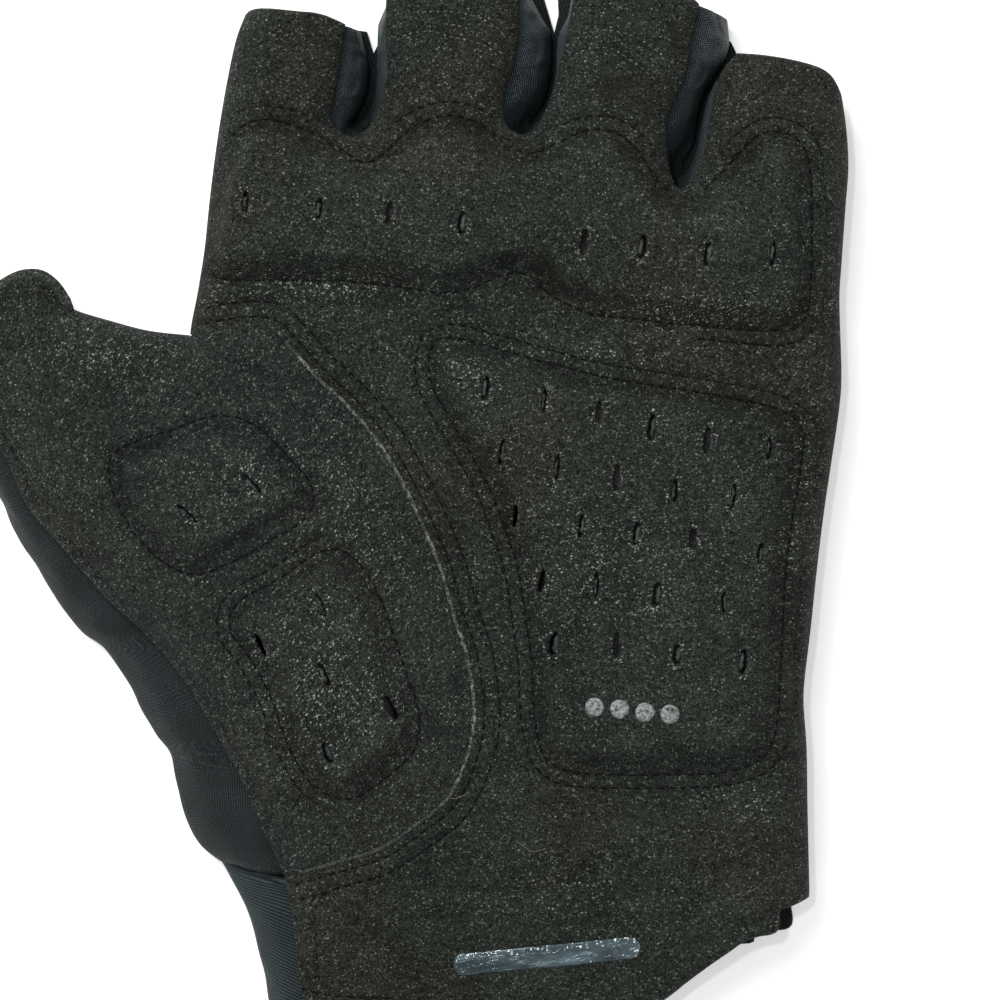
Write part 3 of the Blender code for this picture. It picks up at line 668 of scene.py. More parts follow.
def make(name, verts, faces, mats, attrs=None, face_mat=None, smooth_it=True):
    """A mesh object in metres from points in millimetres."""
    me = bpy.data.meshes.new(name)
    verts = np.asarray(verts, float) * MM
    faces = np.asarray(faces, int)
    me.vertices.add(len(verts))
    me.vertices.foreach_set("co", verts.astype(np.float32).ravel())
    k = faces.shape[1]
    me.loops.add(len(faces) * k)
    me.loops.foreach_set("vertex_index", faces.astype(np.int32).ravel())
    me.polygons.add(len(faces))
    me.polygons.foreach_set("loop_start", np.arange(0, len(faces) * k, k, dtype=np.int32))
    me.polygons.foreach_set("loop_total", np.full(len(faces), k, dtype=np.int32))
    me.update(calc_edges=True)
    me.validate()
    me.polygons.foreach_set("use_smooth", np.full(len(me.polygons), smooth_it))
    for m in mats:
        me.materials.append(m)
    if face_mat is not None:
        me.polygons.foreach_set("material_index", np.asarray(face_mat, np.int32))
    for key, val in (attrs or {}).items():
        val = np.asarray(val, np.float32)
        if val.ndim == 2:
            at = me.attributes.new(key, "FLOAT_VECTOR", "POINT")
            at.data.foreach_set("vector", val.ravel())
        else:
            at = me.attributes.new(key, "FLOAT", "POINT")
            at.data.foreach_set("value", val)
    me.update()
    ob = bpy.data.objects.new(name, me)
    bpy.context.scene.collection.objects.link(ob)
    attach(ob, "root")
    return ob


# ------------------------------------------------------------------ materials
(vx, vy), = pattern([(500.0, 500.0)])
HIGH = 0.90
PLANE = 0.0125          # the height at which the frame is exactly the photograph's


def lower(line, z):
    """The pattern is measured at PLANE; a line that lies lower is seen smaller, so it is further out."""
    mid = np.array((vx, vy))
    return mid + (line - mid) * (1 + (PLANE / MM - z) * MM / HIGH)


class Graph:
    """Short calls for building a material's nodes."""

    def __init__(self, name):
        self.m = bpy.data.materials.new(name)
        self.m.use_nodes = True
        self.t = self.m.node_tree
        self.b = self.t.nodes["Principled BSDF"]

    def put(self, node, key, val):
        if isinstance(val, bpy.types.NodeSocket):
            self.t.links.new(val, node.inputs[key])
        else:
            node.inputs[key].default_value = val

    def attr(self, name, out="Vector"):
        n = self.t.nodes.new("ShaderNodeAttribute")
        n.attribute_name = name
        return n.outputs[out]

    def math(self, op, a, b=0.0, c=0.0, clamp=False):
        n = self.t.nodes.new("ShaderNodeMath")
        n.operation = op
        n.use_clamp = clamp
        for k, v in enumerate((a, b, c)):
            if k < len(n.inputs):
                self.put(n, k, v)
        return n.outputs[0]

    def noise(self, vec, scale, detail=2.0, rough=0.55, warp=0.0):
        n = self.t.nodes.new("ShaderNodeTexNoise")
        self.put(n, "Vector", vec)
        self.put(n, "Scale", scale)
        self.put(n, "Detail", detail)
        self.put(n, "Roughness", rough)
        self.put(n, "Distortion", warp)
        return n.outputs["Fac"]

    def cells(self, vec, scale, feature="F1", rand=1.0):
        n = self.t.nodes.new("ShaderNodeTexVoronoi")
        n.feature = feature
        self.put(n, "Vector", vec)
        self.put(n, "Scale", scale)
        self.put(n, "Randomness", rand)
        return n.outputs["Distance"], n.outputs["Color"]

    def ramp(self, v, lo, hi, to_lo=0.0, to_hi=1.0, soft=True):
        n = self.t.nodes.new("ShaderNodeMapRange")
        n.interpolation_type = "SMOOTHSTEP" if soft else "LINEAR"
        for k, x in (("Value", v), ("From Min", lo), ("From Max", hi), ("To Min", to_lo), ("To Max", to_hi)):
            self.put(n, k, x)
        return n.outputs["Result"]

    def mix(self, fac, a, b, kind="MIX"):
        n = self.t.nodes.new("ShaderNodeMix")
        n.data_type = "RGBA"
        n.blend_type = kind
        self.put(n, 0, fac)
        self.put(n, 6, (*a, 1.0) if isinstance(a, tuple) else a)
        self.put(n, 7, (*b, 1.0) if isinstance(b, tuple) else b)
        return n.outputs[2]

    def axes(self, vec):
        n = self.t.nodes.new("ShaderNodeSeparateXYZ")
        self.put(n, 0, vec)
        return n.outputs

    def turn(self, vec, angle=0.0, scale=(1, 1, 1)):
        n = self.t.nodes.new("ShaderNodeMapping")
        self.put(n, "Vector", vec)
        self.put(n, "Rotation", (0.0, 0.0, angle))
        self.put(n, "Scale", scale)
        return n.outputs[0]

    def bump(self, height, dist, strength=1.0, base=None):
        n = self.t.nodes.new("ShaderNodeBump")
        self.put(n, "Height", height)
        self.put(n, "Distance", dist)
        self.put(n, "Strength", strength)
        if base is not None:
            self.put(n, "Normal", base)
        return n.outputs[0]

    def end(self, colour=None, rough=0.8, normal=None, sheen=0.0, sheen_rough=0.5,
            sheen_tint=(1, 1, 1), metal=0.0, spec=0.5, coat=0.0, coat_rough=0.1):
        for key, val in (("Base Color", colour), ("Roughness", rough), ("Normal", normal)):
            if val is None:
                continue
            self.put(self.b, key, (*val, 1.0) if isinstance(val, tuple) and len(val) == 3 else val)
        self.b.inputs["Metallic"].default_value = metal
        self.b.inputs["Specular IOR Level"].default_value = spec
        self.b.inputs["Sheen Weight"].default_value = sheen
        self.b.inputs["Sheen Roughness"].default_value = sheen_rough
        self.b.inputs["Sheen Tint"].default_value = (*sheen_tint, 1.0)
        self.b.inputs["Coat Weight"].default_value = coat
        self.b.inputs["Coat Roughness"].default_value = coat_rough
        return self.m


def suede(name, ground, warm, cool, glint, amount, rows=0.3):
    """Napped suede: a dark pitted ground with pale fibre ends painted as glints, some in rows."""
    g = Graph(name)
    p = g.attr("cloth")
    tone_wear_and_painted_light = g.attr("tone_wear_and_painted_light", "Fac")
    dust = g.attr("dust", "Fac")
    soil = g.attr("soil", "Fac")
    shine = g.attr("shine", "Fac")
    x, y, _ = g.axes(p)
    worm = g.noise(p, 3.3, 1.0, 0.5, 0.7)
    nap = g.noise(g.turn(p, 0.3, (0.8, 1.25, 1.0)), 0.75, 2.0, 0.6)
    blot = g.noise(p, 0.16, 2.0, 0.6)
    wide = g.noise(p, 0.035, 1.0, 0.5)
    # in stretched places the knit under the nap shows as rows of ends, painted as rows of glints
    line = g.math("SINE", g.math("MULTIPLY", g.math("ADD", y, g.math("MULTIPLY", nap, 0.5)), 2 * math.pi / 0.62))
    line = g.math("MULTIPLY", line, g.math("MULTIPLY_ADD", shine, 0.9, rows))
    torn = g.noise(p, 4.2, 0.0, 0.5)
    push = g.t.nodes.new("ShaderNodeCombineXYZ")
    g.put(push, 0, g.math("MULTIPLY", g.math("SUBTRACT", torn, 0.5), 0.55))
    g.put(push, 1, g.math("MULTIPLY", g.math("SUBTRACT", worm, 0.5), 0.55))
    moved = g.t.nodes.new("ShaderNodeVectorMath")
    moved.operation = "ADD"
    g.put(moved, 0, p)
    g.put(moved, 1, push.outputs[0])
    d1, c1 = g.cells(moved.outputs[0], 3.1)
    d2, c2 = g.cells(g.turn(p, 0.7), 1.25)
    r1, r2, _ = g.axes(c1)
    q1, q2, _ = g.axes(c2)
    pick = g.math("ADD", r1, g.math("MULTIPLY", line, 0.16))
    pick = g.math("ADD", pick, g.math("MULTIPLY_ADD", shine, 0.16, g.math("MULTIPLY", g.math("SUBTRACT", nap, 0.5), 0.35)))
    dot = g.math("MULTIPLY", g.ramp(d1, 0.46, 0.12), g.math("POWER", g.ramp(pick, 0.16, 1.12, soft=False), 2.1))
    big = g.math("MULTIPLY", g.ramp(d2, 0.24, 0.06), g.ramp(q1, 0.86, 1.0))
    # spark: painted glints on the pale fibre ends, stronger where shine is high
    spark = g.math("MULTIPLY", g.math("ADD", dot, g.math("MULTIPLY", big, 0.8)),
                   g.math("MULTIPLY_ADD", shine, 0.82, 0.72))
    spark = g.math("MULTIPLY", spark, amount, clamp=True)
    base = g.mix(g.ramp(wide, 0.35, 0.65), warm, cool)
    base = g.mix(g.ramp(worm, 0.36, 0.60), ground, base)
    shade = g.math("ADD", g.ramp(nap, 0.25, 0.75, 0.74, 1.22), g.ramp(blot, 0.3, 0.7, -0.14, 0.14))
    shade = g.math("MAXIMUM", g.math("ADD", shade, tone_wear_and_painted_light), 0.12)
    grey = g.t.nodes.new("ShaderNodeCombineColor")
    for k in range(3):
        g.put(grey, k, shade)
    base = g.mix(1.0, base, grey.outputs[0], "MULTIPLY")
    colour = g.mix(g.math("MULTIPLY", spark, g.ramp(shade, 0.3, 1.0, 0.25, 1.0), clamp=True), base, glint)
    lint = g.math("MULTIPLY", dust, g.ramp(g.noise(p, 0.9, 4.0, 0.75), 0.45, 0.70), clamp=True)
    colour = g.mix(g.math("MULTIPLY", lint, 0.35), colour, (0.085, 0.090, 0.085))
    colour = g.mix(g.math("MULTIPLY", soil, g.ramp(blot, 0.2, 0.7, 0.5, 1.0)), colour, (0.0125, 0.0068, 0.0042))
    n = g.bump(g.math("MULTIPLY_ADD", nap, 1.3, worm), 0.00042, 0.6)
    return g.end(colour, 0.93, n, sheen=0.03, sheen_rough=0.5, spec=0.12)


def knit(name, dark, mid, light, pitch=0.42, lean=0.0, bump=0.00022, rough=0.5, sheen=0.3):
    """Fine ribbed satin knit: narrow ribs broken into stitches."""
    g = Graph(name)
    p = g.turn(g.attr("cloth"), lean)
    x, y, _ = g.axes(p)
    tone_wear_and_painted_light = g.attr("tone_wear_and_painted_light", "Fac")
    wob = g.noise(p, 0.55, 2.0, 0.5)
    fine = g.noise(p, 3.4, 2.0, 0.6)
    painted_fold_shade = g.noise(p, 0.12, 2.0, 0.5)
    ph = g.math("ADD", g.math("MULTIPLY", x, 2 * math.pi / pitch), g.math("MULTIPLY", wob, 3.0))
    rib = g.math("MULTIPLY_ADD", g.math("SINE", ph), 0.5, 0.5)
    ph2 = g.math("ADD", g.math("MULTIPLY", y, 2 * math.pi / (pitch * 1.3)), g.math("MULTIPLY", g.math("SINE", ph), 1.5))
    loop = g.math("MULTIPLY_ADD", g.math("SINE", ph2), 0.5, 0.5)
    v = g.math("ADD", g.math("MULTIPLY", rib, 0.62), g.math("MULTIPLY", loop, 0.38))
    v = g.math("ADD", v, g.math("MULTIPLY", g.math("SUBTRACT", fine, 0.5), 1.25))
    colour = g.mix(g.ramp(v, 0.15, 0.60), dark, mid)
    colour = g.mix(g.ramp(v, 0.62, 1.02), colour, light)
    # broad lighter and darker patches: painted shading of folds and puckers
    shade = g.math("ADD", g.ramp(painted_fold_shade, 0.3, 0.7, 0.86, 1.14), tone_wear_and_painted_light)
    grey = g.t.nodes.new("ShaderNodeCombineColor")
    for k in range(3):
        g.put(grey, k, shade)
    colour = g.mix(1.0, colour, grey.outputs[0], "MULTIPLY")
    n = g.bump(v, bump, 0.8)
    return g.end(colour, rough, n, sheen=sheen, sheen_rough=0.4, sheen_tint=(0.75, 0.95, 1.0), spec=0.22)


def twill(name, dark, mid, light, pitch=0.78):
    """Diagonal twill with fine yarns across the wale."""
    g = Graph(name)
    p = g.turn(g.attr("cloth"), 0.92)
    x, y, _ = g.axes(p)
    tone_wear_and_painted_light = g.attr("tone_wear_and_painted_light", "Fac")
    wob = g.noise(p, 0.4, 2.0, 0.5)
    fine = g.noise(p, 3.0, 2.0, 0.6)
    ph = g.math("ADD", g.math("MULTIPLY", x, 2 * math.pi / pitch), g.math("MULTIPLY", wob, 2.0))
    wale = g.math("MULTIPLY_ADD", g.math("SINE", ph), 0.5, 0.5)
    yarn = g.math("MULTIPLY_ADD", g.math("SINE", g.math("MULTIPLY", y, 2 * math.pi / 0.36)), 0.5, 0.5)
    v = g.math("ADD", g.math("MULTIPLY", wale, 0.7), g.math("MULTIPLY", yarn, 0.3))
    v = g.math("ADD", v, g.math("MULTIPLY", g.math("SUBTRACT", fine, 0.5), 0.4))
    colour = g.mix(g.ramp(v, 0.15, 0.62), dark, mid)
    colour = g.mix(g.ramp(v, 0.62, 1.05), colour, light)
    grey = g.t.nodes.new("ShaderNodeCombineColor")
    shade = g.math("ADD", g.ramp(wob, 0.3, 0.7, 0.92, 1.08), tone_wear_and_painted_light)
    for k in range(3):
        g.put(grey, k, shade)
    colour = g.mix(1.0, colour, grey.outputs[0], "MULTIPLY")
    n = g.bump(v, 0.00022, 0.8)
    return g.end(colour, 0.6, n, sheen=0.03, sheen_rough=0.4, sheen_tint=(0.8, 0.95, 1.0), spec=0.2)


def gel(name):
    g = Graph(name)
    p = g.attr("cloth")
    blot = g.noise(p, 0.45, 3.0, 0.6)
    fine = g.noise(p, 2.2, 2.0, 0.5)
    colour = g.mix(g.ramp(blot, 0.35, 0.65), (0.028, 0.034, 0.029), (0.064, 0.075, 0.067))
    # near black where the tone attribute is 0, in the slits' open gaps: painted shade
    colour = g.mix(g.attr("tone_wear_and_painted_light", "Fac"), (0.0008, 0.0010, 0.0009), colour)
    return g.end(colour, g.ramp(fine, 0.3, 0.7, 0.5, 0.75), g.bump(fine, 0.0002, 0.5), spec=0.25)


def thread(name, dark, light, rough=0.55):
    g = Graph(name)
    p = g.attr("cloth")
    x, _, _ = g.axes(p)
    ply = g.math("MULTIPLY_ADD", g.math("SINE", g.math("MULTIPLY", x, 2 * math.pi / 0.5)), 0.5, 0.5)
    fuzz = g.noise(p, 3.5, 2.0, 0.6)
    colour = g.mix(g.math("MULTIPLY", ply, g.ramp(fuzz, 0.35, 0.7)), dark, light)
    return g.end(colour, rough, g.bump(ply, 0.0001, 0.7), spec=0.12)


def welt_suede(name):
    """The pale, rubbed edge along the thumb seam."""
    g = Graph(name)
    p = g.attr("cloth")
    wear = g.attr("tone_wear_and_painted_light", "Fac")
    fine = g.noise(p, 2.4, 3.0, 0.7)
    bead = g.noise(p, 0.9, 2.0, 0.6)
    pale = g.math("MULTIPLY", g.ramp(g.math("ADD", fine, g.math("MULTIPLY", bead, 0.6)), 0.72, 1.02), wear, clamp=True)
    colour = g.mix(g.ramp(fine, 0.3, 0.6), (0.010, 0.012, 0.010), (0.040, 0.045, 0.039))
    colour = g.mix(pale, colour, (0.27, 0.28, 0.255))
    return g.end(colour, 0.85, g.bump(fine, 0.0003, 0.7), spec=0.15)


def film(name):
    """Thin glossy heat-pressed film, slightly crinkled over the suede."""
    g = Graph(name)
    p = g.attr("cloth")
    crinkle = g.noise(g.turn(p, 0.4, (0.6, 1.4, 1.0)), 0.5, 4.0, 0.6, 0.5)
    fine = g.noise(p, 2.4, 2.0, 0.5)
    tint = g.noise(g.turn(p, 0.1, (0.18, 0.5, 1.0)), 0.8, 2.0, 0.5)
    colour = g.mix(g.ramp(tint, 0.35, 0.7), (0.024, 0.046, 0.058), (0.098, 0.150, 0.172))
    # painted glints: bright cells along the strip's upper edge, where the patch's band is set
    painted_glint_edge = g.attr("tone_wear_and_painted_light", "Fac")
    d1, _ = g.cells(p, 1.5)
    glint = g.math("MULTIPLY", g.ramp(d1, 0.20, 0.34, 1.0, 0.0), g.ramp(g.math("ADD", tint, painted_glint_edge), 0.85, 1.25), clamp=True)
    colour = g.mix(glint, colour, (0.82, 0.88, 0.88))
    n = g.bump(crinkle, 0.0012, 0.7)
    n = g.bump(fine, 0.00012, 0.4, n)
    return g.end(colour, 0.11, n, metal=0.5, spec=0.7, coat=0.8, coat_rough=0.08)


def silver(name):
    g = Graph(name)
    p = g.attr("cloth")
    fine = g.noise(p, 2.0, 3.0, 0.65)
    worn = g.ramp(g.noise(p, 1.1, 3.0, 0.7), 0.34, 0.46)
    colour = g.mix(g.ramp(fine, 0.3, 0.75), (0.075, 0.088, 0.085), (0.34, 0.38, 0.37))
    colour = g.mix(worn, (0.022, 0.026, 0.024), colour)
    return g.end(colour, 0.42, g.bump(fine, 0.0003, 0.7), metal=0.35, spec=0.5)


SUEDE = suede("suede_palm", (0.0050, 0.0060, 0.0044), (0.0265, 0.0292, 0.0218), (0.0235, 0.0292, 0.0238), (0.360, 0.385, 0.335), 1.0, 0.2)
SUEDE_T = suede("suede_thumb", (0.0055, 0.0070, 0.0056), (0.0262, 0.0298, 0.0240), (0.0235, 0.0292, 0.0248), (0.370, 0.405, 0.360), 1.0, 0.35)
KNIT = knit("knit_back", (0.0030, 0.0052, 0.0058), (0.0092, 0.0138, 0.0144), (0.045, 0.062, 0.063), 0.36, 0.0, 0.0002, 0.62, 0.02)
RIB = knit("rib_gusset", (0.0030, 0.0052, 0.0064), (0.0180, 0.0268, 0.0298), (0.122, 0.156, 0.166), 0.29, 0.38, 0.0003, 0.48, 0.03)
TWILL = twill("twill_cuff", (0.0040, 0.0076, 0.0088), (0.0155, 0.0243, 0.0265), (0.052, 0.073, 0.078), 0.52)
LINING = knit("cloth_inside", (0.003, 0.004, 0.004), (0.009, 0.011, 0.012), (0.020, 0.024, 0.025), 0.55, 0.0, 0.0002, 0.7, 0.0)
GEL = gel("gel_pad")
THREAD = thread("thread_black", (0.0012, 0.0015, 0.0013), (0.0065, 0.0075, 0.0066), 0.85)
# pale thread whose light ply crests stand in for glints: painted glints
THREAD_PALE = thread("thread_pale_painted_glints", (0.035, 0.038, 0.033), (0.330, 0.345, 0.305), 0.6)
WELT = welt_suede("suede_welt")
FILM = film("cuff_film")
SILVER = silver("silver_foil")
LINT = thread("lint_fibre", (0.16, 0.14, 0.12), (0.34, 0.31, 0.28), 0.8)


# -------------------------------------------------------------- masks on suede
def blob(pts, x, y, rx, ry, turn=0.0):
    (cx, cy), = pattern([(x, y)])
    c, s = math.cos(turn), math.sin(turn)
    dx, dy = pts[:, 0] - cx, pts[:, 1] - cy
    return np.exp(-(((dx * c + dy * s) / (rx * UNIT)) ** 2 + ((-dx * s + dy * c) / (ry * UNIT)) ** 2))


def nap_tone_and_painted_light(pts, z):
    """Broad light and dark of the nap: random tone, brushed edges, rubbed pads, and painted shade in the hollows: pad
    moats, stitch grooves, creases and the suede's edges at the gussets and cuff, with painted glints on the slit rims.
    """
    t = 0.10 * waves(pts, 30.0, 11) + 0.05 * waves(pts, 9.0, 12)
    for name in PADS:
        _, d = pad_lift(pts, name)
        # pad tops are lighter (rubbed); the dark band just outside each pad is painted shade in the stitched moat
        t = t + 0.13 * ease(d / 3.0) - 0.26 * np.exp(-((d + 0.7) / 1.5) ** 2)
    for line, deep in STITCHED:
        d = seg_dist(pts, line, within=3.0)
        # painted shade in the stitch grooves
        t = t - 0.24 * np.exp(-(d / 0.42) ** 2)
    for kind, line in EDGES:
        d = seg_dist(pts, line, within=8.0)
        # the side and outer edges are brushed lighter; painted shade where the suede dips at the gussets and cuff
        t = t + (0.06 if kind in ("side", "outer") else -0.10) * np.exp(-(d / 1.6) ** 2)
    for x0, y0, x1, y1, half, deep in CREASES:
        d = seg_dist(pts, np.array(((x0, y0), (x1, y1))), within=6.0)
        # painted shade in the creases
        t = t - min(0.5, 0.45 * deep) * np.exp(-(d / (1.1 * half)) ** 2)
    for s in SLITS:
        d = seg_dist(pts, s, True, within=2.0)
        # painted glint on each slit's rim, painted shade on the lip round it
        t = t + 0.35 * np.exp(-((d - 0.25) / 0.22) ** 2) - 0.2 * np.exp(-((d - 0.9) / 0.4) ** 2)
    return t


def suede_masks(pts, z):
    dust = (0.8 * blob(pts, 735, 800, 45, 20) + 0.9 * blob(pts, 748, 895, 26, 16)
            + 0.5 * blob(pts, 790, 845, 14, 45) + 0.35 * blob(pts, 640, 815, 80, 26)
            + 0.4 * blob(pts, 560, 300, 40, 10) + 0.3 * blob(pts, 760, 600, 30, 60)
            + 0.35 * blob(pts, 470, 400, 26, 20) + 0.3 * blob(pts, 790, 170, 20, 40))
    soil = 0.9 * blob(pts, 616, 86, 24, 10, 0.3) + 0.5 * blob(pts, 500, 84, 16, 20) + 0.25 * blob(pts, 760, 330, 40, 14)
    # shine: where the painted glints of the fibre ends are stronger
    shine = (0.9 * blob(pts, 320, 288, 120, 15) + 0.9 * blob(pts, 690, 312, 130, 18) + 0.6 * blob(pts, 610, 352, 150, 10)
             + 0.6 * blob(pts, 470, 375, 30, 22) + 0.5 * blob(pts, 350, 500, 40, 90, 0.5) + 0.8 * blob(pts, 330, 690, 60, 70)
             + 0.7 * blob(pts, 110, 350, 70, 30) + 0.6 * blob(pts, 240, 480, 40, 26) + 0.7 * blob(pts, 740, 800, 50, 16)
             + 0.5 * blob(pts, 800, 480, 20, 120) + 0.5 * blob(pts, 600, 560, 90, 60) + 0.4 * blob(pts, 560, 880, 60, 30))
    for s in SLITS:
        d = seg_dist(pts, s, True, within=2.0)
        # more painted glints along the slit rims
        shine = shine + 1.0 * np.exp(-((d - 0.30) / 0.40) ** 2)
    return np.clip(dust, 0, 1), np.clip(soil, 0, 1), np.clip(shine, 0, 1.4)


# --------------------------------------------------------------- suede panels
def guides_for(host):
    out = []
    for key in ("index_side", "little_side", "thumb_inner"):
        for d in (0.15, 0.42, 0.85, 1.4):
            out += [inset(E[key], d), inset(E[key], -d)]
    for key in ("im_top", "mr_top", "rl_top", "thumb_outer", "cuff_left",
                "index_tip", "middle_tip", "ring_tip", "little_tip", "cuff_end", "thumb_tip"):
        for d in (0.3, 0.75, 1.3):
            out += [inset(E[key], d), inset(E[key], -d)]
    for line, _ in STITCHED:
        r = even(line, max(3, int(length(line) / 0.5)))
        out += [inset(r, 0.42), r, inset(r, -0.42)]
    for x0, y0, x1, y1, half, deep in CREASES:
        mid = np.array(((x0, y0), ((x0 + x1) / 2, (y0 + y1) / 2 + 0.6 * math.sin(x0)), (x1, y1)))
        r = smooth(mid, 0.5)
        out += [inset(r, 0.45), r, inset(r, -0.45)]
    for s in SLITS:
        for d in (0.35, 0.8):
            c = s.mean(0)
            q = s - c
            q = q / np.linalg.norm(q, axis=1)[:, None]
            out.append(s + q * d)
    return out


def suede_panel(name, node, ring, holes, spacing, mat, turn):
    v, f = fill(ring, holes, guides_for(ring), spacing)
    z = suede_height(v)
    p = np.c_[v, z]
    verts, faces, src, layer = wall(p, f, WALL_SUEDE, 0.30)
    c, s = math.cos(turn), math.sin(turn)
    cloth = np.c_[v[:, 0] * c + v[:, 1] * s, -v[:, 0] * s + v[:, 1] * c, z * 0.6][src]
    tone_wear_and_painted_light = nap_tone_and_painted_light(v, z)
    dust, soil, shine = suede_masks(v, z)
    n_top = len(f)
    fm = np.zeros(len(faces), int)
    fm[n_top:2 * n_top] = 1
    ob = make(name, verts, faces, [mat, LINING],
              {"cloth": cloth, "tone_wear_and_painted_light": tone_wear_and_painted_light[src] * (layer < 0.75), "dust": dust[src], "soil": soil[src], "shine": shine[src]}, fm)
    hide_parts(node)
    return ob, v, f, z


SP = 0.74 * FINE
palm, pv, pf, pz = suede_panel("palm_suede", "palm_panel", front_ring, SLITS_PALM, SP, SUEDE, 0.05)
thumb, tv, tf, tz = suede_panel("thumb_suede", "thumb_panel", thumb_ring, SLITS_THUMB, SP * 0.94, SUEDE_T, 0.9)


# ------------------------------------------------------------------- gel pads
def gel_piece(name):
    ring = PADS[name]
    turn = 1.0 if area(ring) > 0 else -1.0
    ring = inset(ring, turn * 0.9, True)
    near = [s for s in SLITS if inside(s.mean(0)[None], ring)[0]]
    guides = [s.mean(0) + (s - s.mean(0)) * k for s in near for k in (0.15, 0.3, 0.45, 0.6, 0.8, 1.3)]
    v, f = fill(ring, [], guides, 1.5)
    z = suede_height(v, detail=False)
    e = 0.3
    gx = (suede_height(v + (e, 0), False) - suede_height(v - (e, 0), False)) / (2 * e)
    gy = (suede_height(v + (0, e), False) - suede_height(v - (0, e), False)) / (2 * e)
    steep = np.sqrt(1 + gx ** 2 + gy ** 2)
    d = seg_dist(v, ring, True)
    lift = 0.22 * ease(d / 2.5) * (0.5 + 0.5 * waves(v, 5.0, 21))
    top = z - (WALL_SUEDE / 2 + 0.28) * np.minimum(steep, 2.2) - 0.36 + lift
    low = np.minimum(base_height(v) - WALL_SUEDE / 2 - 0.8, top - 0.45)
    tone_wear_and_painted_light = np.ones(len(v))
    for i, hole in enumerate(near):
        r0 = float(hash01(i * 7 + 3, 9))
        up = 0.0 if r0 < 0.42 else 0.62 + 0.38 * r0
        c = hole.mean(0)
        k = hole[0] - c
        h = np.linalg.norm(k)
        k = k / h
        w = np.abs((hole - c) @ np.array((k[1], -k[0]))).max() - 0.30      # less the rims
        h = h - 0.30
        along, across = (v - c) @ k, (v - c) @ np.array((k[1], -k[0]))
        side = (0.42 if hash01(i, 23) > 0.5 else -0.42) * w    # a dark line stays on the other side
        r = np.hypot(along / (0.90 * h), (across - side) / (0.66 * w))
        plate = ease((1.0 - r) / 0.25)
        within = ease((1.7 - np.hypot(along / h, across / w)) / 0.25)
        top = top + up * 1.15 * plate
        # the gap beside a plate, and any slit without a plate, turns near black in the gel colour: painted shade
        tone_wear_and_painted_light = np.minimum(tone_wear_and_painted_light, 1.0 - within * (1.0 - (plate if up > 0 else 0.0)))
    n = len(v)
    verts = np.vstack([np.c_[v, top], np.c_[v, low]])
    b = borders(f)
    faces = np.vstack([f, f[:, ::-1] + n, np.c_[b[:, 1], b[:, 0], b[:, 0] + n],
                       np.c_[b[:, 1], b[:, 0] + n, b[:, 1] + n]])
    ob = make(name + "_gel", verts, faces, [GEL],
              {"cloth": np.vstack([np.c_[v, top], np.c_[v, low]]), "tone_wear_and_painted_light": np.r_[tone_wear_and_painted_light, tone_wear_and_painted_light]})
    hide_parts(name)
    return ob


for name in PADS:
    gel_piece(name)


def surface(v, f):
    """The area of a mesh's triangles, in square mm."""
    return float(np.linalg.norm(np.cross(v[f[:, 1]] - v[f[:, 0]], v[f[:, 2]] - v[f[:, 0]]), axis=1).sum() / 2)


# -------------------------------------------------------------------- gussets
# widest parting and its depth in mm, and the photo row that its first side ends at
FLARE = {"index_middle": (1.5, 5.0, 27.0), "middle_ring": (1.9, 6.4, None), "ring_little": (0.0, 1.0, None)}


def feet(top, low, n, flare, deep, row):
    """A gusset's lower edge, which parts towards the suede at the fingertips."""
    t = even(smooth(pattern(top), 0.5), n)
    b = even(smooth(pattern(low), 0.5), n)
    run = np.linspace(0, length(b), n)
    end = np.minimum(run, run[-1] - run)
    gap = t - b
    dist = np.maximum(np.linalg.norm(gap, axis=1), 1e-6)
    move = np.minimum(flare * np.clip(1 - end / deep, 0, 1), 0.72 * dist)
    b = b + gap / dist[:, None] * move[:, None]
    if row is not None:
        level = (GRID_Y0 - row) * UNIT
        b[:n // 2, 1] = np.minimum(b[:n // 2, 1], level - 0.004 * np.arange(n // 2)[::-1])
    return t, b, move


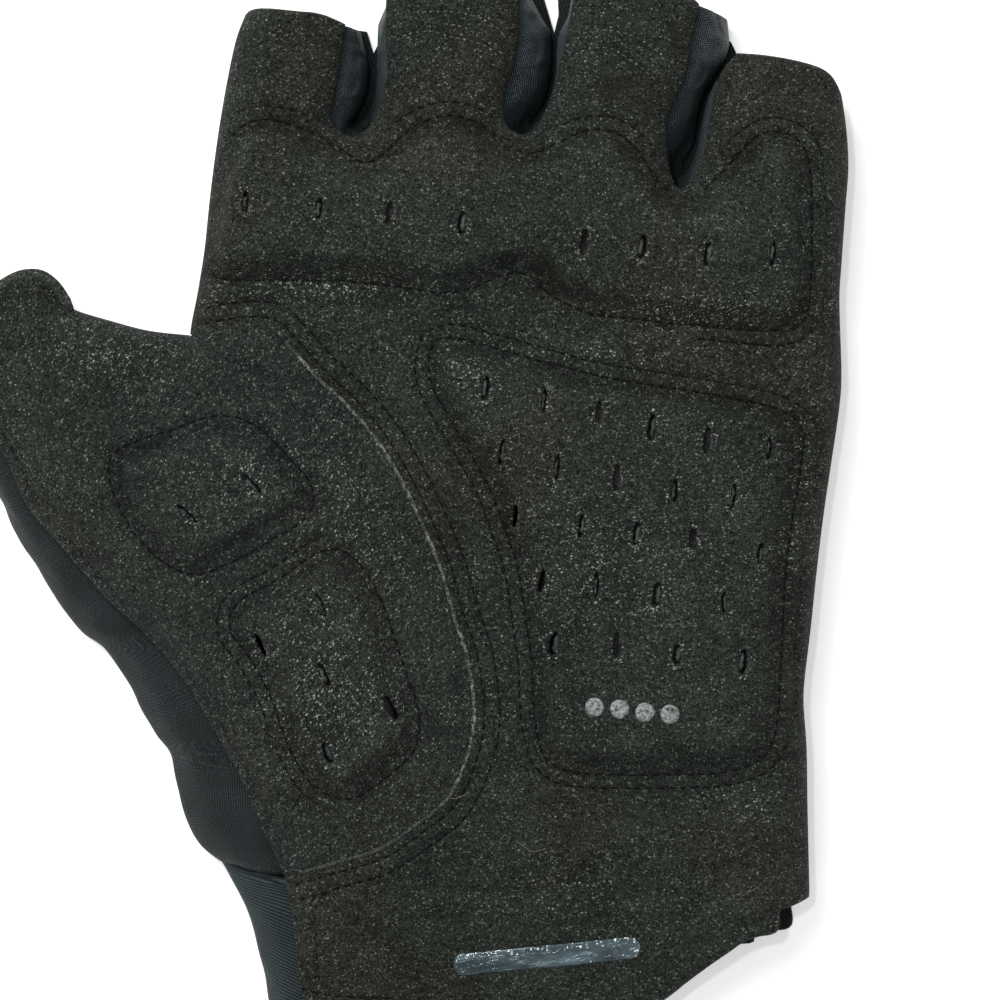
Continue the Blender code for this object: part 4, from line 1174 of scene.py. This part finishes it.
def gusset(name, node, top, low, wide_first):
    """A U of ribbed knit: shouldered on the finger's wide side, a valley at the web."""
    n, rows = int(110 / FINE), 18
    t, b, _ = feet(top, low, n, *FLARE[node[7:]])
    t_in = inset(t, -0.55)
    zt = base_height(t) - WALL_SUEDE / 2 - 0.62
    zb = np.full(n, WALL_KNIT + 0.62)
    u = np.linspace(0, 1, n)
    web = np.exp(-((u - 0.5) / 0.11) ** 2)          # 1 in the crotch
    full = np.clip(np.linalg.norm(b - t, axis=1) / 4.0, 0, 1)
    P, C = [], []
    for k in range(rows + 1):
        s = k / rows
        a = s * math.pi / 2
        sh_p, sh_z = math.sin(a) ** 0.95, 1 - math.cos(a) ** 0.85
        va_p, va_z = 1 - math.cos(a) ** 0.8, math.sin(a) ** 0.75
        fp = (1 - web) * sh_p + web * va_p
        fz = (1 - web) * sh_z + web * va_z
        p = t_in * (1 - fp)[:, None] + b * fp[:, None]
        z = zt * (1 - fz) + zb * fz
        pts = np.c_[p[:, 0] + 0.0, p[:, 1]]
        z = z + 0.30 * math.sin(math.pi * s) * waves(np.c_[u * 60, np.full(n, s * 9)], 9.0, 31) * full
        z = z + 0.30 * math.sin(math.pi * s) * waves(np.c_[u * 60, np.full(n, s * 14)], 3.4, 32)
        P.append(np.c_[pts, z])
        C.append(np.c_[np.full(n, s * 10.0), u * 55.0, np.zeros(n)])
    v = np.vstack(P)
    c = np.vstack(C)
    i = np.arange(n - 1)
    f = []
    for k in range(rows):
        a = k * n + i
        f += [np.c_[a, a + n, a + n + 1], np.c_[a, a + n + 1, a + 1]]
    f = np.vstack(f)
    nrm = vertex_normals(v, f)
    if nrm[:, 2].mean() < 0:
        f = f[:, ::-1]
    verts, faces, src, layer = wall(v, f, WALL_GUSSET, 0.2)
    s_of = np.repeat(np.linspace(0, 1, rows + 1), n)
    # lighter across the middle, darker at both seams and down into the web: painted shade; the waves are random tone
    tone_wear_and_painted_light = 0.22 * np.sin(s_of * math.pi) - 0.35 * np.tile(web, rows + 1) * s_of + 0.1 * waves(c[:, :2], 8.0, 33)
    ob = make(name, verts, faces, [RIB], {"cloth": c[src], "tone_wear_and_painted_light": tone_wear_and_painted_light[src]})
    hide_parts(node)
    grid = v.reshape(rows + 1, n, 3)
    across = np.linalg.norm(np.diff(grid, axis=0), axis=2).sum(0)     # over the curve, seam to seam
    along = np.linalg.norm(np.diff(grid, axis=1), axis=2).sum(1)
    return ob, float(along.max()), float(across.max()), surface(v, f)


gussets = [
    gusset("gusset_knit_index_middle", "gusset_index_middle", GUSSET_IM_TOP, GUSSET_IM_LOW, True),
    gusset("gusset_knit_middle_ring", "gusset_middle_ring", GUSSET_MR_TOP, GUSSET_MR_LOW, True),
    gusset("gusset_knit_ring_little", "gusset_ring_little", GUSSET_RL_TOP, GUSSET_RL_LOW, True),
]


# ------------------------------------------------------------ back of the hand
def grow(verts, faces, start, rows):
    last = np.asarray(start)
    for r in rows:
        new = np.arange(len(verts[0]), len(verts[0]) + len(r))
        verts[0] = np.vstack([verts[0], r])
        a, b, c, d = last[:-1], last[1:], new[1:], new[:-1]
        faces += [np.c_[a, d, c], np.c_[a, c, b]]
        last = new


def fine_rows(rows, base_z, base_xy, count):
    """Make a strip's few table rows into many, along smooth profiles."""
    keys = [np.c_[base_xy, np.full(len(base_xy), base_z)]] + [np.c_[l, z] for l, z in rows]
    K = np.array(keys)
    seg = np.linalg.norm(np.diff(K, axis=0), axis=2).mean(1)
    run = np.r_[0, np.cumsum(seg)]
    out = []
    m = len(K)
    for t in np.linspace(0, run[-1], count + 1)[1:]:
        j = min(np.searchsorted(run, t, side="right") - 1, m - 2)
        w = (t - run[j]) / max(run[j + 1] - run[j], 1e-9)
        p0, p1, p2, p3 = K[max(j - 1, 0)], K[j], K[j + 1], K[min(j + 2, m - 1)]
        if j == 0:
            p0 = 2 * p1 - p2
        if j == m - 2:
            p3 = 2 * p2 - p1
        out.append(0.5 * (2 * p1 + (p2 - p0) * w + (2 * p0 - 5 * p1 + 4 * p2 - p3) * w * w
                          + (3 * p1 - p0 - 3 * p2 + p3) * w ** 3))
    return out


def rolled(name, node, ring, sides, spacing, mat, thick, turn=0.0, lumps=0.0):
    v, f = fill(ring, [], None, spacing)
    verts = [np.c_[v, np.full(len(v), FLOOR_Z)]]
    cloth = [np.c_[v, np.zeros(len(v))]]
    faces = [f]
    for base, rows, count in sides:
        idx = [int(((v - p) ** 2).sum(1).argmin()) for p in base]
        fr = fine_rows(rows, FLOOR_Z, v[idx], count)
        start = len(verts[0])
        if lumps:
            n = len(fr[0])
            for k, r in enumerate(fr):
                s = (k + 1) / len(fr)
                w = math.sin(math.pi * min(1.0, s * 1.05)) if s < 0.95 else 0.1
                along = np.c_[np.linspace(0, length(r[:, :2]), n), np.full(n, s * 14.0)]
                q = lumps * w * (0.6 * waves(along, 15.0, 41) + 0.4 * waves(along, 6.0, 42))
                r[:, 2] += 0.8 * q
                nrm = inset(r[:, :2], -1.0) - r[:, :2]
                r[:, :2] += nrm * (0.5 * q)[:, None]
        grow(verts, faces, idx, fr)
        prev = v[idx]
        dist = np.zeros(len(prev))
        last = np.c_[prev, np.full(len(prev), FLOOR_Z)]
        out_dir = inset(prev, -1.0) - prev
        for r in fr:
            dist = dist + np.linalg.norm(r - last, axis=1)
            cloth.append(np.c_[prev + out_dir * dist[:, None], np.zeros(len(prev))])
            last = r
    V, F, C = verts[0], np.vstack(faces), np.vstack(cloth)
    cut = C.max(0) - C.min(0)                 # the rectangle round the unrolled cloth
    c, s = math.cos(turn), math.sin(turn)
    C = np.c_[C[:, 0] * c + C[:, 1] * s, -C[:, 0] * s + C[:, 1] * c, C[:, 2]]
    # the sheet's upper side is its inside, so its walls face out when turned over
    vv, ff, src, layer = wall(V, F, thick, 0.22)
    ff_n = len(F)
    fm = np.zeros(len(ff), int)
    fm[:ff_n] = 1
    tone_wear_and_painted_light = 0.12 * waves(C[:, :2], 22.0, 43) + 0.05 * waves(C[:, :2], 7.0, 44)
    # darker towards the right side: painted shade
    tone_wear_and_painted_light = tone_wear_and_painted_light - 0.45 * ease((V[:, 0] - 55.0) / 8.0)
    ob = make(name, vv, ff, [mat, LINING], {"cloth": C[src], "tone_wear_and_painted_light": tone_wear_and_painted_light[src]}, fm)
    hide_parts(node)
    return ob, float(cut[0]), float(cut[1]), surface(V, F)


def side_rows(line, turn=1.0):
    n = len(line)
    return (inset(line, turn * 2.7), [
        (inset(line, turn * 1.3), np.full(n, 0.95)),
        (inset(line, turn * 0.60), np.full(n, 2.3)),
        (inset(line, turn * 0.45), np.full(n, 4.8)),
        (inset(line, turn * 0.42), np.full(n, 7.45)),
    ], 12)


def cut_above(line, y):
    keep = line[line[:, 1] > y + 0.3]
    return np.vstack([(np.interp(y, line[:, 1], line[:, 0]), y), keep])


def cut_below(line, y):
    keep = line[line[:, 1] < y - 0.3]
    return np.vstack([keep, (np.interp(y, line[:, 1], line[:, 0]), y)])


SEAM_Y = -53.9
little_up = E["little_side"][::-1]
little_back = cut_above(little_up, SEAM_Y)
little_cuff = cut_below(little_up, SEAM_Y - 0.2)
rb, rrows, rn = side_rows(little_back)
hb, hrows, hn = side_rows(chain(E["index_side"], E["thumb_inner"]))

n_left = int(130 / FINE)
sil = lower(even(E["back_left"], n_left), 3.3)
sue = even(E["thumb_outer"], n_left)
lb = inset(sil, 3.4)
zsue = base_height(sue) - WALL_SUEDE / 2 - WALL_KNIT / 2 - 0.35
lrows = [
    (inset(sil, 1.5), np.full(n_left, 0.85)),
    (inset(sil, 0.42), np.full(n_left, 3.3)),
    (sil * 0.68 + sue * 0.32, zsue * 0.68 + 1.3),
    (sil * 0.30 + sue * 0.70, zsue * 0.93 + 0.2),
    (inset(sue, 0.9), zsue - 0.1),
]


def slot(top, low, key, clear=0.09):
    """The gap between two finger backs: a hairline that opens into a V at the tips."""
    _, line, move = feet(top, low, 81, *FLARE[key])
    plain = even(smooth(pattern(low), 0.5), 81)
    mid = 0.5 * (plain[:41] + plain[80:39:-1])
    if FLARE[key][2] is not None:
        mid = even(mid[mid[:, 1] < (GRID_Y0 - FLARE[key][2]) * UNIT], 41)
    n1 = inset(mid, 1.0) - mid
    a = mid + n1 * (clear + move[:41] * 0.9)[:, None]
    b = mid - n1 * (clear + move[80:39:-1] * 0.9)[:, None]
    if np.linalg.norm(a[0] - line[0]) > np.linalg.norm(b[0] - line[0]):
        a = mid + n1 * (clear + move[80:39:-1] * 0.9)[:, None]
        b = mid - n1 * (clear + move[:41] * 0.9)[:, None]
    return np.vstack([b[:-1], mid[-1:], a[:-1][::-1]])


back_ring = chain(
    lb, even(np.array([lb[-1], (-14.0, SEAM_Y), rb[0]]), 60)[1:-1], rb,
    inset(E["little_tip"][::-1], 0.4)[1:-1],
    slot(GUSSET_RL_TOP, GUSSET_RL_LOW, "ring_little")[::-1],
    E["ring_tip"][::-1][1:-1],
    slot(GUSSET_MR_TOP, GUSSET_MR_LOW, "middle_ring")[::-1],
    E["middle_tip"][::-1][1:-1],
    slot(GUSSET_IM_TOP, GUSSET_IM_LOW, "index_middle")[::-1],
    E["index_tip"][::-1][1:-1],
    hb, inset(E["thumb_tip"], 1.0)[2:-2])
back = rolled("back_knit", "back_panel", back_ring, [(rb, rrows, rn), (hb, hrows, hn), (lb, lrows, 26)],
       1.5 * FINE, KNIT, WALL_KNIT, 0.35, lumps=0.55)

n_cl = int(30 / FINE)
tw = lower(even(E["twill_left"], n_cl), 3.0)
cl = even(E["cuff_left"][::-1], n_cl)
cl[0] = (-17.6, -57.1)
tb = inset(tw, 3.2)
zcl = base_height(cl) - WALL_SUEDE / 2 - WALL_TWILL / 2 - 0.3
trows = [
    (inset(tw, 1.5), np.full(n_cl, 0.85)),
    (inset(tw, 0.42), np.full(n_cl, 3.0)),
    (tw * 0.55 + cl * 0.45, zcl * 0.72 + 0.9),
    (inset(cl, 0.8), zcl),
]
cb, crows, cn = side_rows(little_cuff)
y_top = SEAM_Y - 0.3
tb[0] = lb[-1] + (0.0, -0.30)
for (cuff_line, _), (back_line, _) in zip(trows[:2], lrows[:2]):
    cuff_line[0] = back_line[-1] + (0.0, -0.30)
cuff_ring = chain(tb, E["twill_end"][1:-1], cb,
                  even(np.array([cb[-1], (-14.0, y_top), tb[0]]), 60)[1:-1])
cuff = rolled("cuff_twill", "cuff_side", cuff_ring, [(tb, trows, 20), (cb, crows, cn)],
       1.5 * FINE, TWILL, WALL_TWILL, 0.0, lumps=0.25)


# ------------------------------------------------------------------- stitches
def frame_along(line):
    t = np.gradient(line, axis=0)
    t /= np.maximum(np.linalg.norm(t, axis=1), 1e-9)[:, None]
    return t


def stitches(name, rows, mat, radius=0.15, long_share=0.78, sides=6, lift=0.02):
    V, F, C = [], [], []
    at = 0
    prof = ((-1.0, 0.25, -0.55), (-0.82, 0.85, -0.12), (-0.3, 1.0, 0.12), (0.3, 1.0, 0.12), (0.82, 0.85, -0.12), (1.0, 0.25, -0.55))
    for line, pitch, deep in rows:
        n = max(2, int(length(line) / pitch))
        p = even(line, n * 2 + 1)[1::2]
        d = frame_along(even(line, n * 2 + 1))[1::2]
        z = suede_height(p)
        for i in range(len(p)):
            half = pitch * long_share / 2 * (0.92 + 0.16 * hash01(i, at % 97))
            for s, r, drop in prof:
                cx, cy = p[i] + d[i] * half * s
                for k in range(sides):
                    a = 2 * math.pi * k / sides
                    side = math.cos(a) * radius * r
                    up = math.sin(a) * radius * r * 0.8
                    V.append((cx - d[i][1] * side, cy + d[i][0] * side,
                              z[i] + WALL_SUEDE / 2 + lift + drop * radius * 1.6 + up))
                    C.append((half * s + i * 0.37, side, up))
            m = len(prof)
            for j in range(m - 1):
                for k in range(sides):
                    a = at + j * sides + k
                    b = at + j * sides + (k + 1) % sides
                    F.append((a, b, b + sides))
                    F.append((a, b + sides, a + sides))
            for k in range(1, sides - 1):
                F.append((at, at + k + 1, at + k))
                q = at + (m - 1) * sides
                F.append((q, q + k, q + k + 1))
            at += m * sides
    ob = make(name, np.array(V), np.array(F), [mat], {"cloth": np.array(C)})
    return ob


tips_y = (GRID_Y0 - 78.0) * UNIT
tips = [r for r in ROWS if r[0][:, 1].mean() > tips_y]
stitches("seam_stitches", [r for r in ROWS if r[0][:, 1].mean() <= tips_y], THREAD, 0.16)
# the fingertip rows use the pale thread, with its painted glints
stitches("fingertip_stitches", tips, THREAD_PALE, 0.15, 0.62, lift=0.16)


# ------------------------------------------------- tubes: welt, hems and lint
def tube(name, lines, radius, mat, sides=8, beads=None, flat=0.7, wear=None):
    V, F, C, W = [], [], [], []
    at = 0
    for li, line in enumerate(lines):
        line = np.asarray(line)
        t = frame_along(line)
        run = np.r_[0, np.cumsum(np.linalg.norm(np.diff(line, axis=0), axis=1))]
        m = len(line)
        for i in range(m):
            r = radius
            if beads:
                r *= 0.86 + 0.24 * abs(math.sin(math.pi * run[i] / beads)) ** 0.7
                r *= 0.93 + 0.14 * float(hash01(int(run[i] / beads), 5))
            ends = min(1.0, 0.35 + min(run[i], run[-1] - run[i]) / (radius * 3))
            r *= ends
            s = np.array((-t[i][1], t[i][0], 0.0))
            s /= max(np.linalg.norm(s), 1e-9)
            up = np.cross(t[i], s)
            up = up if up[2] > 0 else -up
            for k in range(sides):
                a = 2 * math.pi * k / sides
                V.append(line[i] + s * math.cos(a) * r + up * math.sin(a) * r * flat)
                C.append((run[i], a * radius, li))
                W.append(1.0 if wear is None else wear(line[i]))
        for i in range(m - 1):
            for k in range(sides):
                a = at + i * sides + k
                b = at + i * sides + (k + 1) % sides
                F.append((a, b, b + sides))
                F.append((a, b + sides, a + sides))
        for k in range(1, sides - 1):
            F.append((at, at + k + 1, at + k))
            q = at + (m - 1) * sides
            F.append((q, q + k, q + k + 1))
        at += m * sides
    V, F = np.array(V), np.array(F)
    a, b, c = V[F[:, 0]], V[F[:, 1]], V[F[:, 2]]
    if (a * np.cross(b, c)).sum() < 0:
        F = F[:, ::-1]
    ob = make(name, V, F, [mat], {"cloth": np.array(C), "tone_wear_and_painted_light": np.array(W)})
    return ob


seam = even(E["thenar"], int(length(E["thenar"]) / 0.22))
sz = suede_height(seam)
top_y = (GRID_Y0 - 341.0) * UNIT
keep = slice(10, int(np.argmax(seam[:, 1] > top_y)))


def rubbed(p):
    """How pale the welt is: most at the thumb's root, least at the cuff."""
    y = (GRID_Y0 - p[1] / UNIT)
    return float(0.20 + 0.75 * ease((830.0 - y) / 70.0) * ease((y - 335.0) / 40.0) * (0.7 + 0.3 * math.sin(p[1] * 0.9)))


line3 = np.c_[seam, sz + WALL_SUEDE / 2 + 0.02][keep]
tube("thumb_seam_welt", [line3], 0.30, WELT, 8, beads=1.15, flat=0.75, wear=rubbed)

hem = smooth(pattern(((-14, 297), (4, 283), (22, 275), (40, 275), (54, 285), (64, 300), (71, 309))), 0.3)
tube("thumb_hem_roll", [np.c_[hem, suede_height(hem) + 0.15]], 0.85, SUEDE_T, 10, flat=0.85)

fibres = []
for x0, y0, x1, y1, bend in ((517, 841, 546, 848, 1.0), (447, 797, 470, 791, 0.5), (747, 891, 757, 887, 0.3)):
    (ax, ay), (bx, by) = pattern([(x0, y0), (x1, y1)])
    t = np.linspace(0, 1, 22)
    px = ax + (bx - ax) * t + 0.25 * bend * np.sin(2 * math.pi * t)
    py = ay + (by - ay) * t - bend * np.sin(math.pi * t)
    q = np.c_[px, py]
    fibres.append(np.c_[q, suede_height(q) + WALL_SUEDE / 2 + 0.10])
tube("lint_fibres", fibres, 0.045, LINT, 5, flat=1.0)


# ------------------------------------------------------- patches on the suede
def patch(name, ring, spacing, lift, thick, mat):
    v, f = fill(ring, [], [inset(ring, 0.25 if area(ring) > 0 else -0.25, True)], spacing)
    z = suede_height(v) + WALL_SUEDE / 2 + lift
    d = seg_dist(v, ring, True, 3.0)
    z = z - 0.10 * (1 - ease(d / 0.5))
    p = np.c_[v, z]
    verts, faces, src, _ = wall(p, f, thick, 0.03)
    # a band along the rim's upper half, where the film's painted glints go
    painted_glint_band = ease((1.3 - d) / 0.6) * ease((v[:, 1] - v[:, 1].mean() + 0.4) / 0.8)
    ob = make(name, verts, faces, [mat], {"cloth": p[src], "tone_wear_and_painted_light": painted_glint_band[src]})
    return ob


def lozenge(cx, cy, long, wide, turn, n=14):
    """A bar with round ends."""
    out = []
    for side in (1, -1):
        for k in range(n + 1):
            a = math.pi * (k / n - 0.5)
            out.append((side * (long / 2 - wide / 2 + math.cos(a) * wide / 2), side * math.sin(a) * wide / 2))
    q = np.array(out)
    c, s = math.cos(turn), math.sin(turn)
    q = np.c_[q[:, 0] * c - q[:, 1] * s + cx, q[:, 0] * s + q[:, 1] * c + cy]
    m = int(length(np.vstack([q, q[:1]])) / 0.5)
    return even(np.vstack([q, q[:1]]), m + 1)[:-1]


(sx, sy), = pattern([(547, 957)])
patch("cuff_strip", lozenge(sx, sy, 29.0, 3.4, 0.10), 0.45, 0.10, 0.16, FILM)


def disc(x, y, r, n=36):
    (cx, cy), = pattern([(x, y)])
    a = np.linspace(0, 2 * math.pi, n + 1)[:-1]
    return np.c_[cx + r * np.cos(a), cy + r * np.sin(a)]


# a plain row of dots on the heel pad
for i, (x, y) in enumerate(((594, 706), (619, 708), (644, 711), (669, 713))):
    patch("silver_dot_%d" % (i + 1), disc(x, y, 1.45), 0.35, 0.07, 0.12, SILVER)


# ------------------------------------------------------- floor, light, camera
def floor_material():
    g = Graph("floor_paper")
    tc = g.t.nodes.new("ShaderNodeTexCoord")
    n = g.noise(tc.outputs["Object"], 60.0, 3.0, 0.6)
    colour = g.mix(g.ramp(n, 0.3, 0.7), (0.93, 0.93, 0.93), (0.95, 0.95, 0.95))
    m = g.end(colour, 0.95, spec=0.0)
    g.b.inputs["Emission Color"].default_value = (1.0, 1.0, 1.0, 1.0)
    g.b.inputs["Emission Strength"].default_value = 0.35      # a lit table
    return m


me = bpy.data.meshes.new("floor")
s = 3.0
me.from_pydata([(-s, -s, -0.0002), (s, -s, -0.0002), (s, s, -0.0002), (-s, s, -0.0002)], [], [(0, 1, 2, 3)])
floor = bpy.data.objects.new("floor", me)
me.materials.append(floor_material())
bpy.context.scene.collection.objects.link(floor)


def lamp(name, where, target, size, power, colour=(1, 1, 1)):
    d = bpy.data.lights.new(name, "AREA")
    d.shape = "DISK"
    d.size = size
    d.energy = power
    d.color = colour
    o = bpy.data.objects.new(name, d)
    o.location = where
    o.rotation_euler = (Vector(target) - Vector(where)).to_track_quat("-Z", "Y").to_euler()
    bpy.context.scene.collection.objects.link(o)
    return o


MID = (0.015, 0.002, 0.010)
lamp("key", (-0.36, 0.44, 0.74), MID, 0.60, 6.6)
lamp("fill", (0.75, -0.35, 0.85), MID, 0.9, 1.6)
lamp("near_camera", (-0.10, 0.12, 0.95), MID, 0.05, 1.7)

world = bpy.data.worlds.new("studio")
world.use_nodes = True
world.node_tree.nodes["Background"].inputs[0].default_value = (1.0, 1.0, 1.0, 1.0)
world.node_tree.nodes["Background"].inputs[1].default_value = 0.40
bpy.context.scene.world = world
bpy.context.scene.view_settings.view_transform = "Standard"

cam_d = bpy.data.cameras.new("camera")
cam = bpy.data.objects.new("camera", cam_d)
bpy.context.scene.collection.objects.link(cam)
cam.location = (vx * MM, vy * MM, HIGH + PLANE)
cam.rotation_euler = (0.0, 0.0, 0.0)
cam_d.sensor_width = 36.0
cam_d.lens = 36.0 * HIGH / (1000 * UNIT * MM)
cam_d.clip_start = 0.01
cam_d.clip_end = 20.0
bpy.context.scene.camera = cam
